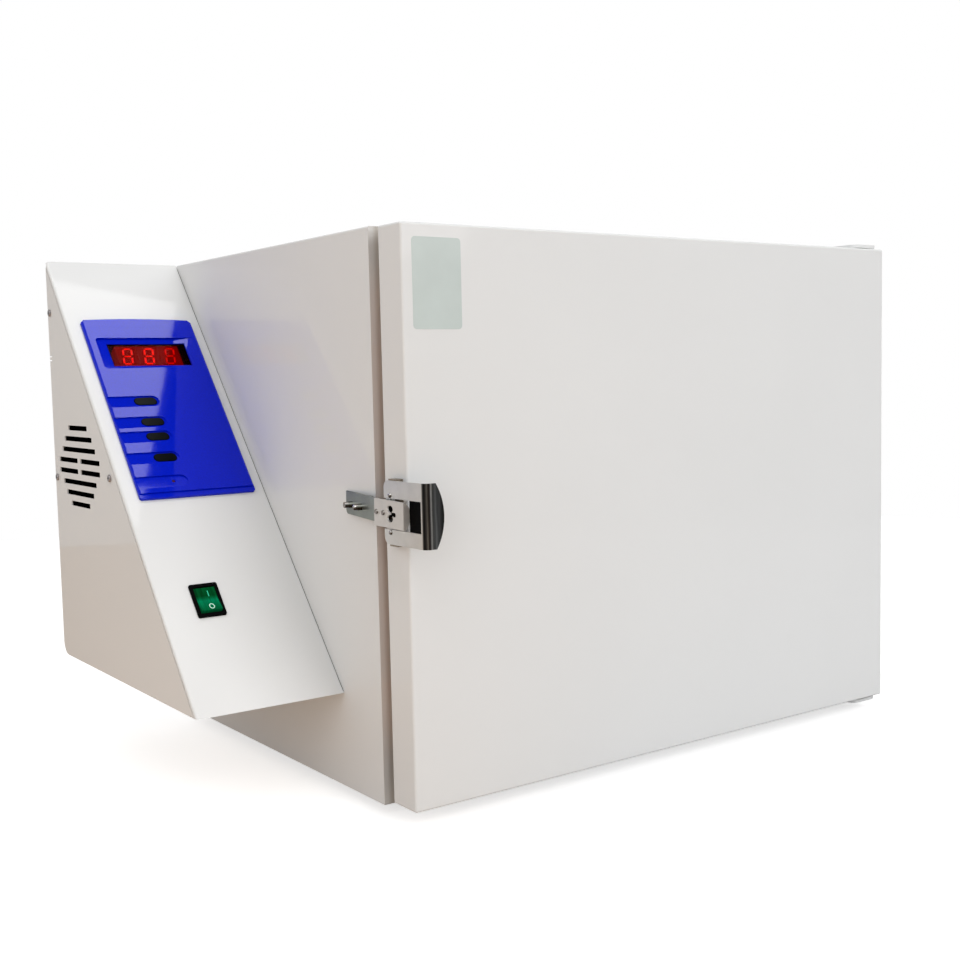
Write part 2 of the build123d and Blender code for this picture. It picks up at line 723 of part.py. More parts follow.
with BuildPart() as door_skin:
    block((door_left, door_right), (door_front, door_back), (door_bottom, door_top))
    front_edges = door_skin.faces().sort_by(Axis.Y)[0].edges()
    fillet(front_edges + door_skin.edges().filter_by(Axis.Y), radius=door_bend)
    hollow_x = (door_left + case_sheet, door_right - case_sheet)
    hollow_z = (door_bottom + case_sheet, door_top - case_sheet)
    block(hollow_x, (door_front + case_sheet, door_back - case_sheet), hollow_z, Mode.SUBTRACT)
    open_x = (door_left + door_flange, door_right - door_flange)
    open_z = (door_bottom + door_flange, door_top - door_flange)
    block(open_x, (door_back - case_sheet - 1, door_back + 1), open_z, Mode.SUBTRACT)
    rod(bush_radius + running_gap, (hinge_x, hinge_y, door_bottom - 1), "z", case_height + 2, Mode.SUBTRACT)
    for screw_z in screw_zs:
        rod(latch_screw_radius + seam, (door_left - 1, screw_y, screw_z), "x", case_sheet + 2, Mode.SUBTRACT)
finish(door_skin.part, "door_skin")

with BuildPart() as door_insulation:
    block(hollow_x, (door_front + case_sheet, door_back - case_sheet), hollow_z)
    plug_x = (case_middle - plug_half_width, case_middle + plug_half_width)
    plug_z = (chamber_level - plug_half_height, chamber_level + plug_half_height)
    core_x = (plug_x[0] + panel_sheet, plug_x[1] - panel_sheet)
    core_z = (plug_z[0] + panel_sheet, plug_z[1] - panel_sheet)
    block(core_x, (door_front + case_sheet, plug_back - panel_sheet), core_z)
    relief_x = (hinge_x - hinge_relief, door_right)
    bush_space = bush_length + 1
    block(relief_x, (door_front, door_back), (door_bottom, door_bottom + bush_space), Mode.SUBTRACT)
    block(relief_x, (door_front, door_back), (door_top - bush_space, door_top), Mode.SUBTRACT)
    for screw_z in screw_zs:
        hole_start = (door_left - 1, screw_y, screw_z)
        rod(latch_screw_radius + seam, hole_start, "x", latch_screw_length + 2, Mode.SUBTRACT)
finish(door_insulation.part, "door_insulation")

with BuildPart() as door_panel:
    panel_x = (door_left + panel_inset, door_right - panel_inset)
    panel_z = (door_bottom + panel_inset, door_top - panel_inset)
    block(panel_x, (door_back, panel_back), panel_z)
    block(plug_x, (door_back, plug_back), plug_z)
    plug_edges = door_panel.faces().sort_by(Axis.Y)[-1].edges()
    fillet(plug_edges, radius=panel_sheet * 0.9)
    block(core_x, (door_back - 1, plug_back - panel_sheet), core_z, Mode.SUBTRACT)
finish(door_panel.part, "door_panel")

with BuildPart() as door_seal:
    seal_plane = Plane.XZ.offset(-panel_back)
    seal_outer_width = door_width - 2 * seal_side_inset
    seal_outer_height = chamber_height + 2 * seal_lap
    with BuildSketch(seal_plane):
        with Locations(((door_left + door_right) / 2, chamber_level + seal_lift)):
            RectangleRounded(seal_outer_width, seal_outer_height, seal_corner)
            RectangleRounded(
                seal_outer_width - 2 * seal_width,
                seal_outer_height - 2 * seal_width,
                seal_corner - seal_width,
                mode=Mode.SUBTRACT,
            )
    extrude(amount=-(liner_front - seal_squeeze - panel_back))
    fillet(door_seal.faces().sort_by(Axis.Y)[-1].edges(), radius=seal_width * 0.35)
finish(door_seal.part, "door_seal")

with BuildPart() as blank_label:
    with BuildSketch(Plane.XZ.offset(-door_front)):
        label_x = door_left + label_left + label_width / 2
        label_z = door_top - label_top_drop - label_height / 2
        with Locations((label_x, label_z)):
            RectangleRounded(label_width, label_height, label_corner)
    extrude(amount=label_thickness)
finish(blank_label.part, "blank_label")

with BuildPart() as hinge_bushes:
    for bush_low in (door_bottom, door_top - bush_length):
        rod(bush_radius, (hinge_x, hinge_y, bush_low), "z", bush_length)
        bore_radius = hinge_pin_radius + running_gap
        rod(bore_radius, (hinge_x, hinge_y, bush_low - 0.5), "z", bush_length + 1, Mode.SUBTRACT)
finish(hinge_bushes.part, "hinge_bushes")

# ---------------------------------------------------------------- latch lever and its bracket
lever_low = case_bottom + lever_bottom
lever_high = case_bottom + lever_top
lever_outside = door_left - lever_stand_off
lever_inside = lever_outside + lever_sheet
pivot_x = door_left - pivot_stand_off
pivot_y = door_front + pivot_behind_front
# the bracket's ears lie under and over the lever's lugs
lower_ear = lever_low - ear_gap - ear_sheet
upper_ear = lever_high + ear_gap
bracket_face = door_left - bracket_sheet

with BuildPart() as latch_bracket:
    bracket_y_span = (door_front + bracket_front, door_front + bracket_rear)
    block((bracket_face, door_left), bracket_y_span, (lower_ear, upper_ear + ear_sheet))
    for ear_low in (lower_ear, upper_ear):
        block((lever_outside, door_left), bracket_y_span, (ear_low, ear_low + ear_sheet))
        bore_start = (pivot_x, pivot_y, ear_low - 0.1)
        rod(pivot_pin_radius + running_gap, bore_start, "z", ear_sheet + 0.2, Mode.SUBTRACT)
    for screw_z in screw_zs:
        hole_start = (bracket_face - 1, screw_y, screw_z)
        rod(latch_screw_radius + seam, hole_start, "x", bracket_sheet + 2, Mode.SUBTRACT)
finish(latch_bracket.part, "latch_bracket")

with BuildPart() as latch_screws:
    for screw_z in screw_zs:
        rod(latch_screw_radius, (bracket_face, screw_y, screw_z), "x", latch_screw_length)
        head_start = (bracket_face - latch_screw_head, screw_y, screw_z)
        rod(latch_screw_head_radius, head_start, "x", latch_screw_head)
finish(latch_screws.part, "latch_screws")

with BuildPart() as latch_pins:
    pin_length = lever_sheet + ear_gap + ear_sheet
    for pin_low in (lower_ear, lever_high - lever_sheet):
        rod(pivot_pin_radius, (pivot_x, pivot_y, pin_low), "z", pin_length)
finish(latch_pins.part, "latch_pins")

with BuildPart() as latch_handle:
    grip_front = door_front - lever_reach
    grip_end = door_left + grip_reach
    rear_end = door_front + lever_rear
    with BuildSketch(Plane.XY.offset(lever_low)):
        with BuildLine():
            Polyline((lever_outside, rear_end), (lever_outside, grip_front + lever_bend))
            JernArc((lever_outside, grip_front + lever_bend), (0, -1), lever_bend, 90)
            Polyline(
                (lever_outside + lever_bend, grip_front),
                (grip_end, grip_front),
                (grip_end, grip_front + lever_sheet),
                (lever_outside + lever_bend, grip_front + lever_sheet),
            )
            inner_bend = lever_bend - lever_sheet
            JernArc((lever_outside + lever_bend, grip_front + lever_sheet), (-1, 0), inner_bend, -90)
            Polyline(
                (lever_inside, grip_front + lever_bend),
                (lever_inside, rear_end),
                (lever_outside, rear_end),
            )
        make_face()
    extrude(amount=lever_high - lever_low)
    # bowed right edge of the grip
    mid_z = (lever_low + lever_high) / 2
    half_height = (lever_high - lever_low) / 2
    corner_x = door_left + grip_corner_reach
    with BuildSketch(Plane.XZ.offset(-(grip_front - 1))):
        with BuildLine():
            ThreePointArc((corner_x, lever_low), (grip_end, mid_z), (corner_x, lever_high))
            Polyline(
                (corner_x, lever_high),
                (corner_x, lever_high + 5),
                (grip_end + 5, lever_high + 5),
                (grip_end + 5, lever_low - 5),
                (corner_x, lever_low - 5),
                (corner_x, lever_low),
            )
        make_face()
    extrude(amount=-(lever_sheet + 2), mode=Mode.SUBTRACT)
    # rounded rear corners
    rear_corners = latch_handle.edges().filter_by(Axis.X).group_by(Axis.Y)[-1]
    fillet(rear_corners, radius=lever_rear_corner)
    # window, open at the rear so that the catch can leave it
    window_z = (case_bottom + window_bottom, case_bottom + window_top)
    window_y = (door_front - window_front, rear_end + 1)
    block((lever_outside - 1, lever_inside + 1), window_y, window_z, Mode.SUBTRACT)
    # lugs that take the pivot pins
    for lug_low in (lever_low, lever_high - lever_sheet):
        block(
            (lever_inside, pivot_x),
            (pivot_y - lug_radius, pivot_y + lug_radius),
            (lug_low, lug_low + lever_sheet),
        )
        rod(lug_radius, (pivot_x, pivot_y, lug_low), "z", lever_sheet)
        bore_start = (pivot_x, pivot_y, lug_low - 1)
        rod(pivot_pin_radius + running_gap, bore_start, "z", lever_sheet + 2, Mode.SUBTRACT)
    rivet_y = door_front + rivet_behind_front
    rivet_zs = (window_z[0] - rivet_edge, window_z[1] + rivet_edge)
    for rivet_z in rivet_zs:
        hole_start = (lever_outside - 1, rivet_y, rivet_z)
        rod(rivet_shank + running_gap, hole_start, "x", lever_sheet + 2, Mode.SUBTRACT)
finish(latch_handle.part, "latch_handle")

with BuildPart() as latch_cam:
    cam_right = door_left - cam_inside
    cam_low = window_z[0] - cam_overlap
    with BuildSketch(Plane.XY.offset(cam_low)):
        with BuildLine():
            Polyline(
                (lever_inside, grip_front + lever_bend),
                (lever_outside + lever_bend, grip_front + lever_bend),
                (lever_outside + lever_bend, grip_front + lever_sheet),
                (cam_right, grip_front + lever_sheet),
                (cam_right, door_front - cam_rear),
                (lever_inside, door_front - cam_rear - cam_slant),
                close=True,
            )
        make_face()
    extrude(amount=window_z[1] + cam_overlap - cam_low)
finish(latch_cam.part, "latch_cam")

with BuildPart() as lever_rivets:
    for rivet_z in rivet_zs:
        rod(rivet_radius, (lever_outside - rivet_head, rivet_y, rivet_z), "x", rivet_head)
        rod(rivet_shank, (lever_outside, rivet_y, rivet_z), "x", lever_sheet)
    fillet(lever_rivets.faces().group_by(Axis.X)[0].edges(), radius=rivet_head * 0.9)
finish(lever_rivets.part, "lever_rivets")

# ---------------------------------------------------------------- catch on the cabinet's side
arm_front = arm_front_lap - catch_rear
arm_kink = catch_bend - catch_rear
with BuildPart() as catch_arm:
    with BuildSketch(catch_place.offset(arm_rise - arm_height / 2)):
        with BuildLine():
            Polyline(
                (-arm_start, 0),
                (-plate_inside, arm_kink),
                (-plate_inside, arm_front),
                (arm_sheet - plate_inside, arm_front),
                (arm_sheet - plate_inside, arm_kink),
                (arm_sheet - arm_start, 0),
                close=True,
            )
        make_face()
    extrude(amount=arm_height)
    fillet(catch_arm.edges().filter_by(Axis.X).group_by(Axis.Y)[-1].sort_by(Axis.Z)[0], radius=arm_corner)
    for stud in catch_studs:
        with Locations(stud):
            Cylinder(catch_screw_radius + running_gap, 4 * arm_sheet, mode=Mode.SUBTRACT)
    for y in catch_rivet_ys:
        with Locations(catch_place.location * Location((-plate_inside, y - catch_rear, 0))):
            Cylinder(catch_rivet_shank + running_gap, 4 * arm_sheet, rotation=(0, 90, 0), mode=Mode.SUBTRACT)
finish(catch_arm.part, "catch_arm")

with BuildPart() as catch_wedge:
    wedge_rear = catch_rear - wedge_inset
    wedge_front = wedge_rear - wedge_length
    with BuildSketch(catch_place.offset(arm_rise - arm_height / 2 + 1)):
        with BuildLine():
            Polyline(
                (0, wedge_rear - catch_rear),
                (0, wedge_front - catch_rear),
                (arm_sheet - arm_outside(wedge_front), wedge_front - catch_rear),
                (arm_sheet - arm_outside(wedge_rear), wedge_rear - catch_rear),
                close=True,
            )
        make_face()
    extrude(amount=arm_height - 2)
    for stud in catch_studs:
        with Locations(stud):
            Cylinder(catch_screw_radius + running_gap, 4 * catch_head_height, mode=Mode.SUBTRACT)
finish(catch_wedge.part, "catch_wedge")

with BuildPart() as catch_plate:
    plate_front_y = -(catch_rear + plate_front)
    plate_low = -plate_drop - plate_height / 2
    with Locations(catch_place.location * Location((-plate_outside, plate_front_y, plate_low))):
        Box(plate_sheet, plate_front + catch_bend, plate_height, align=Align.MIN)
    lip_place = catch_place.location * Location((0, plate_front_y, -plate_drop), (90, 0, 0))
    with BuildSketch(Plane(lip_place)):
        with BuildLine():
            lip_start = (-plate_inside - 0.1, -plate_height / 2)
            lip_end = (-plate_inside - 0.1, plate_height / 2)
            ThreePointArc(lip_start, (-lip_depth, 0), lip_end)
            Line(lip_end, lip_start)
        make_face()
    extrude(amount=-plate_sheet)
    # club-shaped hole
    hole_place = catch_place.location * Location((-plate_outside - 1, -catch_rear, 0))
    hole_plane = Plane(hole_place.position, x_dir=catch_place.y_dir, z_dir=(1, 0, 0))
    with BuildSketch(hole_plane):
        for lobe_y, lobe_z, half_length, half_height in catch_hole_lobes:
            with Locations((lobe_y, lobe_z)):
                Ellipse(half_length, half_height)
        Polygon([lobe[:2] for lobe in catch_hole_lobes], align=None)
    extrude(amount=plate_sheet + 2, mode=Mode.SUBTRACT)
    for y in catch_rivet_ys:
        with Locations(catch_place.location * Location((-plate_outside, y - catch_rear, 0))):
            Cylinder(catch_rivet_shank + running_gap, 4 * arm_sheet, rotation=(0, 90, 0), mode=Mode.SUBTRACT)
finish(catch_plate.part, "catch_plate")

with BuildPart() as catch_screws:
    for stud in catch_studs:
        with Locations(stud):
            Cylinder(catch_nut_radius, catch_nut_height, align=(Align.CENTER, Align.CENTER, Align.MIN))
            shank = arm_outside(catch_screw_ys[1]) + case_sheet
            Cylinder(catch_screw_radius, shank, align=(Align.CENTER, Align.CENTER, Align.MAX))
        with Locations(stud * Location((0, 0, catch_nut_height))):
            Cylinder(catch_head_radius, catch_head_height, align=(Align.CENTER, Align.CENTER, Align.MIN))
    fillet(catch_screws.edges().filter_by(GeomType.CIRCLE).sort_by(Axis.X)[0], radius=1.6)
    wool_side = (case_left + case_sheet, case_left + case_width)
    block(wool_side, (door_front, case_back), (case_bottom, case_top), Mode.SUBTRACT)
finish(catch_screws.part, "catch_screws")

with BuildPart() as catch_rivets:
    for y in catch_rivet_ys:
        head_place = catch_place.location * Location((-plate_outside, y - catch_rear, 0), (0, -90, 0))
        with Locations(head_place):
            Cylinder(catch_rivet_radius, catch_rivet_head, align=(Align.CENTER, Align.CENTER, Align.MIN))
            shank_length = plate_sheet + arm_sheet
            Cylinder(catch_rivet_shank, shank_length, align=(Align.CENTER, Align.CENTER, Align.MAX))
finish(catch_rivets.part, "catch_rivets")

# ================================================================ control box
side_inside = box_left + case_sheet
wall_inside = case_left - case_sheet
front_lip = box_front + box_return
wrap_front = front_lip + seam


def on_slope(u, v, w=0.0):
    """World point of a place on the slope: u across, v up the slope, w outward."""
    return slope_plane.from_local_coords((u, v, w))


def profile_prism(x_span, corner, inset=0.0, mode=Mode.ADD):
    """Add or cut the control box's side profile, rounded at its lower rear corner."""
    low_z = box_floor + inset
    rear_y = case_back - inset
    with BuildSketch(Plane.YZ.offset(x_span[0])) as profile:
        with BuildLine():
            Polyline(
                (rear_y, low_z + corner),
                (rear_y, case_top + (rear_y - case_back) * slope_rise / slope_run),
                (box_front + inset * slope_run / slope_rise, low_z),
                (rear_y - corner, low_z),
            )
            JernArc((rear_y - corner, low_z), (1, 0), corner, 90)
        make_face()
    extrude(profile.sketch, amount=x_span[1] - x_span[0], mode=mode)


def clear_band(x_span, near, far):
    """Cut away what lies between two depths behind the slope."""
    with BuildSketch(slope_plane.offset(-far)) as band:
        with Locations(((x_span[0] + x_span[1]) / 2 - box_left, slope_length / 2)):
            Rectangle(x_span[1] - x_span[0], 2 * slope_length)
    extrude(band.sketch, amount=far - near, mode=Mode.SUBTRACT)


def cut_notches():
    """Cut the bend notches in the lower edge and the two slits in the rear edge of the box's side."""
    edge_x = (box_left - 1, side_inside + case_sheet + seam)
    for back in notch_backs:
        middle = case_back - back
        notch_y = (middle - notch_size / 2, middle + notch_size / 2)
        block(edge_x, notch_y, (box_floor - 1, box_floor + notch_size), Mode.SUBTRACT)
    for height in slit_heights:
        middle = case_bottom + height
        slit_z = (middle - slit_width / 2, middle + slit_width / 2)
        block(edge_x, (case_back - slit_length, case_back + 1), slit_z, Mode.SUBTRACT)


every_x = (box_left - 1, case_left + 1)
deep = slope_length

with BuildPart() as control_front:
    profile_prism((box_left, case_left), box_corner)
    for end in (0, -1):
        fold_edge = control_front.faces().sort_by(Axis.X)[end].edges().sort_by(Edge.length)[-1]
        fillet(fold_edge, radius=box_fold_bend)
    # hollow behind the slope, with a fold on both sides and a lip under its front
    clear_band((side_inside, wall_inside), case_sheet, deep)
    clear_band((box_left - 1, side_inside), box_fold, deep)
    clear_band((wall_inside, case_left + 1), box_return, deep)
    back_y = (case_back - case_sheet, case_back + 1)
    block(every_x, back_y, (box_floor, case_top - 2 * case_sheet), Mode.SUBTRACT)
    with BuildSketch(Plane.XY.offset(box_floor)):
        with Locations((case_left - box_width / 2, (box_front + front_lip) / 2)):
            Rectangle(box_width - 2 * case_sheet, box_return)
    extrude(amount=case_sheet)
    clear_band(every_x, -10, 0)
    # cut-outs for the key panel and the mains switch
    panel_u = key_panel_left + key_panel_width / 2
    panel_v = key_panel_bottom + key_panel_height / 2
    with BuildSketch(slope_plane.offset(-2 * case_sheet)):
        with Locations((panel_u, panel_v)):
            Rectangle(key_panel_width - 2 * cutout_rim, key_panel_height - 2 * cutout_rim)
        with Locations((switch_u, switch_v)):
            Rectangle(switch_body_width + 0.4, switch_body_height + 0.4)
    extrude(amount=4 * case_sheet, mode=Mode.SUBTRACT)
    cut_notches()
finish(control_front.part, "control_front")

side_screw_spots = [(case_back - back, case_bottom + height) for back, height in side_screw_places]
vent_y = case_back - vent_centre_back
vent_z = case_bottom + case_height * vent_share
with BuildPart() as control_side:
    profile_prism((box_left, side_inside), box_corner)
    clear_band(every_x, -1, box_fold + box_seam)
    with BuildSketch(Plane.YZ.offset(box_left - 1)) as vents:
        for row, half_length in enumerate(vent_half_lengths):
            for side in (-1, 1):
                row_z = vent_z + side * (row + 0.5) * vent_pitch
                with Locations((vent_y, row_z)):
                    Rectangle(2 * half_length, vent_slot)
        with Locations((vent_y, vent_z)):
            Rectangle(vent_bridge, 2 * vent_pitch, mode=Mode.SUBTRACT)
        fillet(vents.vertices(), radius=vent_corner)
    extrude(amount=case_sheet + 2, mode=Mode.SUBTRACT)
    for screw_place_y, screw_place_z in side_screw_spots:
        hole_start = (box_left - 1, screw_place_y, screw_place_z)
        rod(case_screw_radius + running_gap, hole_start, "x", case_sheet + 2, Mode.SUBTRACT)
    cut_notches()
finish(control_side.part, "control_side")

gland_x = case_left - gland_from_case
gland_z = box_floor + gland_height
with BuildPart() as control_wrap:
    profile_prism((side_inside, case_left), box_corner)
    inner_x = (side_inside + case_sheet, wall_inside)
    profile_prism(inner_x, box_corner - case_sheet, case_sheet, Mode.SUBTRACT)
    flange_depth = case_sheet + box_inner_flange
    flange_hole = (side_inside - 1, case_left + 1)
    profile_prism(flange_hole, box_corner, flange_depth, Mode.SUBTRACT)
    clear_band(every_x, -1, case_sheet + seam)
    clear_band((inner_x[1] - 0.1, case_left + 1), -1, box_return + seam)
    lip_z = (box_floor - 1, box_floor + 4 * box_inner_flange)
    block(every_x, (box_front - 1, wrap_front), lip_z, Mode.SUBTRACT)
    rod(gland_radius + running_gap, (gland_x, case_back - 3, gland_z), "y", 6, Mode.SUBTRACT)
    for screw_place_y, screw_place_z in side_screw_spots:
        hole_start = (side_inside - 1, screw_place_y, screw_place_z)
        rod(case_screw_radius + running_gap, hole_start, "x", case_sheet + 2, Mode.SUBTRACT)
    cut_notches()
finish(control_wrap.part, "control_wrap")

with BuildPart() as case_screws:
    for screw_place_y, screw_place_z in side_screw_spots:
        head_start = (box_left - case_screw_head, screw_place_y, screw_place_z)
        rod(case_screw_head_radius, head_start, "x", case_screw_head)
        rod(case_screw_radius, (box_left, screw_place_y, screw_place_z), "x", case_screw_length)
    fillet(case_screws.faces().group_by(Axis.X)[0].edges(), radius=case_screw_head / 2)
    for screw_place_y, screw_place_z in side_screw_spots:
        cross_recess(Location((box_left - case_screw_head, screw_place_y, screw_place_z), (0, -90, 0)))
finish(case_screws.part, "case_screws")

# ---------------------------------------------------------------- key panel on the slope
panel_right = key_panel_left + key_panel_width
panel_top = key_panel_bottom + key_panel_height
lamp_v = key_vs[-1] - lamp_drop
channel_vs = key_vs + (lamp_v,)
window_u = display_left + display_width / 2
window_v = display_bottom + display_height / 2
boss_us = (key_panel_left + boss_inset, panel_right - boss_inset)
boss_vs = (key_panel_bottom + boss_inset, panel_top - boss_inset)
boss_spots = [(u, v) for u in boss_us for v in boss_vs]
outward_axis = Axis(on_slope(0, 0), slope_plane.z_dir)

with BuildPart() as panel_bezel:
    with BuildSketch(slope_plane) as panel_outline:
        with BuildLine():
            shoulder = panel_top - key_panel_crown
            ThreePointArc((key_panel_left, shoulder), (panel_u, panel_top), (panel_right, shoulder))
            Polyline(
                (panel_right, shoulder),
                (panel_right, key_panel_bottom),
                (key_panel_left, key_panel_bottom),
                (key_panel_left, shoulder),
            )
        make_face()
        chamfer(panel_outline.vertices().group_by(Axis.Y)[-1], length=key_panel_cut)
        fillet(panel_outline.vertices().group_by(Axis.Y)[0], radius=key_panel_corner)
    extrude(amount=key_panel_thickness)
    chamfer(panel_bezel.faces().sort_by(outward_axis)[-1].edges(), length=key_panel_bevel)
    # step along the lower edge
    with BuildSketch(slope_plane.offset(key_panel_thickness - recess_depth)):
        with Locations((panel_u, key_panel_bottom)):
            Rectangle(key_panel_width + 2, 2 * ledge_height)
    extrude(amount=recess_depth + 1, mode=Mode.SUBTRACT)
    with BuildSketch(slope_plane):
        with Locations(boss_spots):
            Circle(boss_radius)
    extrude(amount=-board_depth)
    # recess round the display: deep along its top, shallow along its bottom and running out at its right end
    recess_sections = (
        (display_recess_bottom, display_recess_foot),
        (display_recess_bottom + display_recess_height, display_recess_depth),
    )
    recess_width = display_recess_right - display_recess_left + display_recess_corner
    recess_u = display_recess_left + recess_width / 2
    recess_v = display_recess_bottom + display_recess_height / 2
    with BuildPart(mode=Mode.PRIVATE) as display_recess:
        for section_v, section_depth in recess_sections:
            with BuildSketch(Plane(on_slope(0, section_v), x_dir=(1, 0, 0), z_dir=-slope_plane.y_dir)):
                with BuildLine():
                    Polyline(
                        (display_recess_left, key_panel_thickness + 1),
                        (display_recess_left, key_panel_thickness - section_depth),
                        (display_ramp, key_panel_thickness - section_depth),
                        (display_recess_right, key_panel_thickness),
                        (display_recess_right, key_panel_thickness + 1),
                        close=True,
                    )
                make_face()
        loft()
        with BuildSketch(slope_plane):
            with Locations((recess_u, recess_v)):
                RectangleRounded(recess_width, display_recess_height, display_recess_corner)
        extrude(amount=key_panel_thickness + 1, mode=Mode.INTERSECT)
    add(display_recess.part, mode=Mode.SUBTRACT)
    # window opening with a rebate for the window behind it
    with BuildSketch(slope_plane.offset(-1)):
        with Locations((window_u, window_v)):
            Rectangle(display_width, display_height)
    extrude(amount=key_panel_thickness + 2, mode=Mode.SUBTRACT)
    with BuildSketch(slope_plane):
        with Locations((window_u, window_v)):
            Rectangle(display_width + 2 * window_rim, display_height + 2 * window_rim)
    extrude(amount=window_top_level, mode=Mode.SUBTRACT)
    # channels that run in from the panel's left edge, one for each key and one for the lamp, each with
    # a floor that rises to the surface at its lower edge
    with BuildPart(mode=Mode.PRIVATE) as channels:
        with BuildSketch(slope_plane.offset(key_panel_thickness - recess_depth)):
            for channel_v in channel_vs:
                with Locations((0, channel_v)):
                    SlotOverall(2 * channel_right, channel_height)
        extrude(amount=recess_depth + 1)
        ramp_level = key_panel_thickness - recess_depth
        for channel_v in channel_vs:
            ramp_place = on_slope(-channel_right - 1, channel_v, ramp_level)
            with BuildSketch(Plane(ramp_place, x_dir=slope_plane.y_dir, z_dir=(1, 0, 0))):
                with BuildLine():
                    Polyline(
                        (-channel_height / 2 - 1, 0),
                        (-channel_height / 2 - 1, recess_depth),
                        (-channel_height / 2, recess_depth),
                        (channel_height / 2, 0),
                        close=True,
                    )
                make_face()
            extrude(amount=2 * channel_right + 2, mode=Mode.SUBTRACT)
    add(channels.part, mode=Mode.SUBTRACT)
    with BuildSketch(slope_plane.offset(-1)):
        for key_v in key_vs:
            with Locations((key_u, key_v)):
                SlotOverall(key_length + 2 * key_clearance, key_height + 2 * key_clearance)
        with Locations((lamp_u, lamp_v)):
            Circle(lamp_radius + running_gap)
    extrude(amount=key_panel_thickness + 2, mode=Mode.SUBTRACT)
finish(panel_bezel.part, "panel_bezel")

with BuildPart() as display_window:
    with BuildSketch(slope_plane.offset(window_top_level)):
        with Locations((window_u, window_v)):
            Rectangle(display_width + 2 * window_rim - 2 * seam, display_height + 2 * window_rim - 2 * seam)
    extrude(amount=-window_sheet)
finish(display_window.part, "display_window")

with BuildPart() as control_board:
    with BuildSketch(slope_plane.offset(-board_depth)):
        with Locations((panel_u, panel_v)):
            Rectangle(key_panel_width - 2 * board_edge, key_panel_height - 2 * board_edge)
    extrude(amount=-board_sheet)
finish(control_board.part, "control_board")

digit_face = -(segment_gap + segment_thickness)
digit_us = [first_digit_u + place * digit_pitch for place in range(3)]
with BuildPart() as digit_modules:
    with BuildSketch(slope_plane.offset(-board_depth)):
        for digit_u in digit_us:
            with Locations((digit_u, digit_v)):
                Rectangle(digit_block_width, digit_block_height)
    extrude(amount=board_depth + digit_face)
    # each face has a shallow seven-part figure of eight
    lean = Plane(on_slope(0, 0, digit_face), x_dir=(1, 0, 0), z_dir=slope_plane.z_dir)
    slant = digit_height / 4 * sin(radians(digit_lean))
    bar_length = digit_width - 2 * segment_width
    post_length = digit_height / 2 - 2 * segment_width
    with BuildSketch(lean):
        for digit_u in digit_us:
            for level in (-1, 0, 1):
                bar_u = digit_u + level * 2 * slant
                bar_v = digit_v + level * (digit_height - segment_width) / 2
                with Locations((bar_u, bar_v)):
                    Rectangle(bar_length, segment_width)
            for level in (-1, 1):
                for side in (-1, 1):
                    post_u = digit_u + level * slant + side * (digit_width - segment_width) / 2
                    post_v = digit_v + level * digit_height / 4
                    with Locations(Location((post_u, post_v), -digit_lean)):
                        Rectangle(segment_width, post_length)
    extrude(amount=-segment_thickness, mode=Mode.SUBTRACT)
finish(digit_modules.part, "digit_modules")

with BuildPart() as status_led:
    lamp_tip = key_panel_thickness - recess_depth / 2 + 0.4
    with BuildSketch(slope_plane.offset(-board_depth)):
        with Locations((lamp_u, lamp_v)):
            Circle(lamp_radius)
    extrude(amount=board_depth + lamp_tip)
    fillet(status_led.faces().sort_by(outward_axis)[-1].edges(), radius=lamp_radius * 0.6)
finish(status_led.part, "status_led")

stem_end = 6.0
plunger_gap = key_travel + 0.3
plunger_top = -(stem_end + plunger_gap)
with BuildPart() as tact_switches:
    with BuildSketch(slope_plane.offset(-board_depth)):
        for key_v in key_vs:
            with Locations((key_u, key_v)):
                Rectangle(tact_size, tact_size)
    extrude(amount=tact_height - 0.5)
    with BuildSketch(slope_plane.offset(-board_depth)):
        for key_v in key_vs:
            with Locations((key_u, key_v)):
                Circle(tact_plunger_radius)
    extrude(amount=board_depth + plunger_top)
finish(tact_switches.part, "tact_switches")

key_top = key_panel_thickness - recess_depth / 2 + key_proud
for key_name, key_v in zip(key_names, key_vs):
    with BuildPart() as key:
        with BuildSketch(slope_plane.offset(-key_clearance)):
            with Locations((key_u, key_v)):
                SlotOverall(key_length, key_height)
        extrude(amount=key_top + key_clearance)
        fillet(key.faces().sort_by(outward_axis)[-1].edges(), radius=0.6)
        with BuildSketch(slope_plane.offset(-key_clearance)):
            with Locations((key_u, key_v)):
                SlotOverall(key_length + 2 * key_skirt, key_height + 2 * key_skirt)
        extrude(amount=-key_skirt_thickness)
        with BuildSketch(slope_plane.offset(-key_clearance)):
            with Locations((key_u, key_v)):
                Circle(key_stem_radius)
        extrude(amount=key_clearance - stem_end)
    finish(key.part, key_name)

# ---------------------------------------------------------------- mains rocker switch
with BuildPart() as switch_housing:
    with BuildSketch(slope_plane):
        with Locations((switch_u, switch_v)):
            RectangleRounded(switch_rim_width, switch_rim_height, switch_rim_corner)
    extrude(amount=switch_rim)
    fillet(switch_housing.faces().sort_by(outward_axis)[-1].edges(), radius=0.6)
    with BuildSketch(slope_plane):
        with Locations((switch_u, switch_v)):
            Rectangle(switch_body_width, switch_body_height)
    extrude(amount=-switch_body_depth)
    with BuildSketch(slope_plane.offset(switch_rim + 1)):
        with Locations((switch_u, switch_v)):
            Rectangle(well_width, well_height)
    extrude(amount=-(switch_rim + 1 + well_depth), mode=Mode.SUBTRACT)
    pin_span = rocker_width + 2 * rocker_pin_length + 0.2
    with Locations(Location(on_slope(switch_u, switch_v, -rocker_pivot), (0, 90, 0))):
        Cylinder(rocker_pin_radius + running_gap, pin_span, mode=Mode.SUBTRACT)
    for blade_v in (switch_v - 7, switch_v, switch_v + 7):
        with BuildSketch(slope_plane.offset(-switch_body_depth)):
            with Locations((switch_u, blade_v)):
                Rectangle(6.3, 0.8)
        extrude(amount=-8)
finish(switch_housing.part, "switch_housing")

